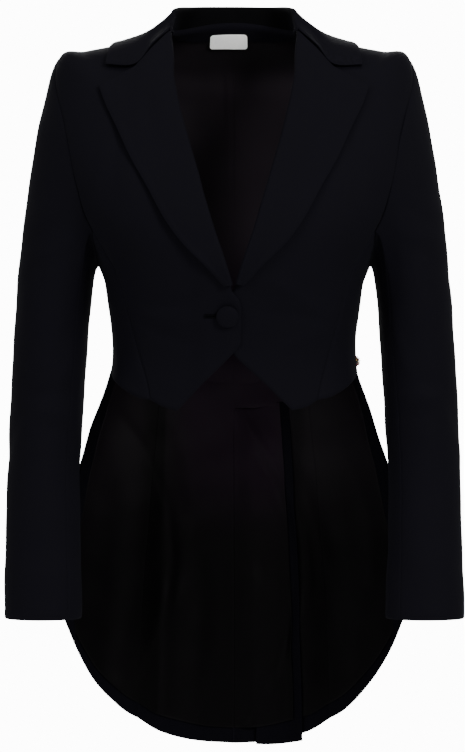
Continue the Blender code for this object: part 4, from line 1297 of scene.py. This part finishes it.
def build_ornament():
    """The small gilt burr at the wearer's left side waist: a dark dome, prongs round it, and set beads."""
    radius, height = ORNAMENT["radius"], ORNAMENT["height"]
    profile = [(0, height * 0.62), (radius * 0.3, height * 0.6), (radius * 0.55, height * 0.5),
               (radius * 0.72, height * 0.3), (radius * 0.8, height * 0.12), (radius * 0.7, 0), (0, 0)]
    core = shown("ornament_core", turned_mesh("ornament_core", profile, 28, ("jet",)))
    shape = bmesh.new()
    source = np.random.default_rng(7)

    def set_in(corners, moved, kind):
        for corner in corners:
            corner.co = moved(corner.co)
        for face in {face for corner in corners for face in corner.link_faces}:
            face.material_index = kind

    for ring, (count, lean, reach) in enumerate(PRONG_RINGS):
        for k in range(count):
            around = 2 * math.pi * (k + 0.5 * (ring % 2)) / count + source.uniform(-0.12, 0.12)
            tilt = math.radians(lean + source.uniform(-6, 6))
            length = reach * source.uniform(0.86, 1.0)
            away = aim(tilt, around)
            tip = Vector((away.x * radius, away.y * radius, 0.5 + away.z * (1.3 * height + 0.5))) * length
            root = Vector((tip.x * 0.3, tip.y * 0.3, tip.z * 0.25 + 0.3))
            prong = bmesh.ops.create_cone(shape, cap_ends=True, segments=8, radius1=0.95 * MM,
                                          radius2=0.12 * MM, depth=(tip - root).length * MM)
            turn_to = (tip - root).to_track_quat("Z", "Y").to_matrix()
            middle = (tip + root) / 2 * MM
            set_in(prong["verts"], lambda co: turn_to @ co + middle, (0, 2, 1, 2)[k % 4])
            bead = bmesh.ops.create_icosphere(shape, subdivisions=2, radius=source.uniform(0.5, 0.8) * MM)
            home = aim(tilt, around + math.pi / max(count, 2)) * radius * 0.78
            home.z = 0.4 + math.cos(tilt) * (height - 0.8)
            set_in(bead["verts"], lambda co: co + home * MM, (1, 0, 2)[k % 3])
    mesh = bpy.data.meshes.new("ornament_prongs")
    shape.to_mesh(mesh)
    shape.free()
    prongs = shown("ornament_prongs", finished(mesh, ("gilt", "garnet", "jet")))
    side_ring = spots([(135, ORNAMENT["z"])])[0][1]
    for piece in (core, prongs):
        fasten(piece, (0.0, side_ring), 1, -SEAM_GAP)
    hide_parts("waist_ornament")


def softbox(name, place, width, height, power, target):
    lamp = bpy.data.lights.new(name, "AREA")
    lamp.shape = "RECTANGLE"
    lamp.size, lamp.size_y, lamp.energy = width, height, power
    made = shown(name, lamp)
    made.location = place
    made.rotation_euler = (Vector(target) - made.location).to_track_quat("-Z", "Y").to_euler()


def build_stage(settings):
    """The pale floor and room, four softboxes, and the camera that stands where the photo's did."""
    floor_mesh = bpy.data.meshes.new("floor")
    shape = bmesh.new()
    bmesh.ops.create_circle(shape, cap_ends=True, segments=96, radius=3.0)
    shape.to_mesh(floor_mesh)
    shape.free()
    finish = Finish("pale_floor", Roughness=0.9)
    paint = finish.noise(finish.body(), 3, 2.0)
    pale = tuple(settings.floor_colour) + (1.0,)
    finish.colour(finish.mixed(paint, dyed(pale, 0.98), dyed(pale, 1.0)))
    floor_mesh.materials.append(finish.material)
    floor = shown("floor", floor_mesh)
    floor.location.z = -1.42
    world = bpy.data.worlds.new("pale_room")
    world.use_nodes = True
    tree = world.node_tree
    seen = tree.nodes["Background"]
    fill = tree.nodes.new("ShaderNodeBackground")
    for background, strength in ((seen, settings.room_brightness), (fill, settings.fill_light)):
        background.inputs["Color"].default_value = pale
        background.inputs["Strength"].default_value = strength
    ray, either = tree.nodes.new("ShaderNodeLightPath"), tree.nodes.new("ShaderNodeMixShader")
    tree.links.new(ray.outputs["Is Camera Ray"], either.inputs[0])
    tree.links.new(fill.outputs[0], either.inputs[1])
    tree.links.new(seen.outputs[0], either.inputs[2])
    tree.links.new(either.outputs[0], tree.nodes["World Output"].inputs["Surface"])
    bpy.context.scene.world = world
    power = settings.lamp_power
    softbox("key_softbox", (1.7, -2.3, 1.0), 0.8, 1.0, power, (0, 0, -0.25))
    softbox("side_softbox", (-2.3, -2.0, 0.7), 1.2, 1.6, power * 0.5, (0, 0, -0.3))
    softbox("top_softbox", (0, -0.9, 2.1), 1.6, 0.9, power * 0.3, (0, 0, -0.2))
    softbox("back_softbox", (0, 2.6, 1.2), 2.4, 1.2, power * 0.9, (0, 0, -0.4))
    lens = bpy.data.cameras.new("camera")
    lens.sensor_width = 36
    lens.lens = 147.97
    camera = shown("camera", lens)
    camera.location = (-0.00165, -3.4, -0.3773)
    camera.rotation_euler = (math.pi / 2, 0, 0)
    bpy.context.scene.camera = camera


class BlazerSettings(bpy.types.PropertyGroup):
    """Colours and finishes that a user would change."""

    cloth_colour: bpy.props.FloatVectorProperty(
        name="Cloth", description="Colour of the wool twill", subtype="COLOR", size=3, min=0, max=1,
        default=(0.0018, 0.00165, 0.0028))
    lining_colour: bpy.props.FloatVectorProperty(
        name="Lining", description="Colour of the satin lining", subtype="COLOR", size=3, min=0, max=1,
        default=(0.0030, 0.0014, 0.0031))
    label_colour: bpy.props.FloatVectorProperty(
        name="Label", description="Colour of the blank label", subtype="COLOR", size=3, min=0, max=1,
        default=(0.90, 0.90, 0.88))
    gilt_colour: bpy.props.FloatVectorProperty(
        name="Gilt", description="Colour of the ornament's metal", subtype="COLOR", size=3, min=0, max=1,
        default=(0.62, 0.40, 0.13))
    floor_colour: bpy.props.FloatVectorProperty(
        name="Room", description="Colour of the floor and the room", subtype="COLOR", size=3, min=0, max=1,
        default=(0.92, 0.92, 0.92))
    nap: bpy.props.FloatProperty(
        name="Nap", description="Soft sheen of the wool's short hairs", default=0.004, min=0, max=1,
        subtype="FACTOR")
    twill_pitch: bpy.props.FloatProperty(
        name="Twill pitch", description="Distance between two twill lines", default=0.0013, min=0.0004,
        max=0.004, unit="LENGTH", precision=5)
    crease_depth: bpy.props.FloatProperty(
        name="Creases", description="Depth of the soft creases", default=1.0, min=0, max=2, subtype="FACTOR")
    room_brightness: bpy.props.FloatProperty(
        name="Room brightness", description="How bright the room behind the garment looks", default=14.0,
        min=0, max=40)
    fill_light: bpy.props.FloatProperty(
        name="Fill light", description="Strength of the room's even light on the garment", default=0.55,
        min=0, max=6)
    lamp_power: bpy.props.FloatProperty(
        name="Softboxes", description="Power of each softbox", default=112.0, min=0, max=1000, unit="POWER")


class BLAZER_OT_panels(bpy.types.Operator):
    """Sew the outer panels of the body and the tails."""

    bl_idname = "blazer.panels"
    bl_label = "Body panels"

    def execute(self, context):
        for side in (-1, 1):
            build_panels(side)
        return {"FINISHED"}


class BLAZER_OT_linings(bpy.types.Operator):
    """Sew the satin linings, the tail facings and the vent."""

    bl_idname = "blazer.linings"
    bl_label = "Linings and facings"

    def execute(self, context):
        for side in (-1, 1):
            build_linings(side)
        build_vent()
        return {"FINISHED"}


class BLAZER_OT_neck_trim(bpy.types.Operator):
    """Sew the back neck facing and the blank label."""

    bl_idname = "blazer.neck_trim"
    bl_label = "Neck facing and label"

    def execute(self, context):
        build_neck_trim()
        return {"FINISHED"}


class BLAZER_OT_collar(bpy.types.Operator):
    """Sew the collar and both lapels."""

    bl_idname = "blazer.collar"
    bl_label = "Collar and lapels"

    def execute(self, context):
        for side in (-1, 1):
            build_lapel(side)
        build_collar()
        return {"FINISHED"}


class BLAZER_OT_sleeves(bpy.types.Operator):
    """Set in the two-piece sleeves."""

    bl_idname = "blazer.sleeves"
    bl_label = "Sleeves"

    def execute(self, context):
        for side in (-1, 1):
            build_sleeves(side)
        return {"FINISHED"}


class BLAZER_OT_closure(bpy.types.Operator):
    """Cover the button and work its buttonhole."""

    bl_idname = "blazer.closure"
    bl_label = "Button and buttonhole"

    def execute(self, context):
        build_button()
        build_buttonhole()
        return {"FINISHED"}


class BLAZER_OT_ornament(bpy.types.Operator):
    """Set the gilt burr at the side waist."""

    bl_idname = "blazer.ornament"
    bl_label = "Waist ornament"

    def execute(self, context):
        build_ornament()
        return {"FINISHED"}


class BLAZER_OT_stage(bpy.types.Operator):
    """Set up the pale room, its lights and the camera."""

    bl_idname = "blazer.stage"
    bl_label = "Stage"

    def execute(self, context):
        build_stage(context.scene.tailcoat_blazer)
        return {"FINISHED"}


PIECES = (BLAZER_OT_panels, BLAZER_OT_linings, BLAZER_OT_neck_trim, BLAZER_OT_collar, BLAZER_OT_sleeves,
          BLAZER_OT_closure, BLAZER_OT_ornament, BLAZER_OT_stage)


class BLAZER_PT_sewing(bpy.types.Panel):
    """The blazer's pieces and finishes."""

    bl_idname = "BLAZER_PT_sewing"
    bl_label = "Tailcoat Blazer"
    bl_space_type = "VIEW_3D"
    bl_region_type = "UI"
    bl_category = "Blazer"

    def draw(self, context):
        settings = context.scene.tailcoat_blazer
        for name in BlazerSettings.__annotations__:
            self.layout.prop(settings, name)
        for piece in PIECES:
            self.layout.operator(piece.bl_idname)


CLASSES = (BlazerSettings, *PIECES, BLAZER_PT_sewing)


def register():
    for made in CLASSES:
        bpy.utils.register_class(made)
    bpy.types.Scene.tailcoat_blazer = bpy.props.PointerProperty(type=BlazerSettings)


def unregister():
    del bpy.types.Scene.tailcoat_blazer
    for made in reversed(CLASSES):
        bpy.utils.unregister_class(made)


def main():
    register()
    for name in ("panels", "linings", "neck_trim", "collar", "sleeves", "closure", "ornament", "stage"):
        getattr(bpy.ops.blazer, name)()


if __name__ == "__main__":
    main()
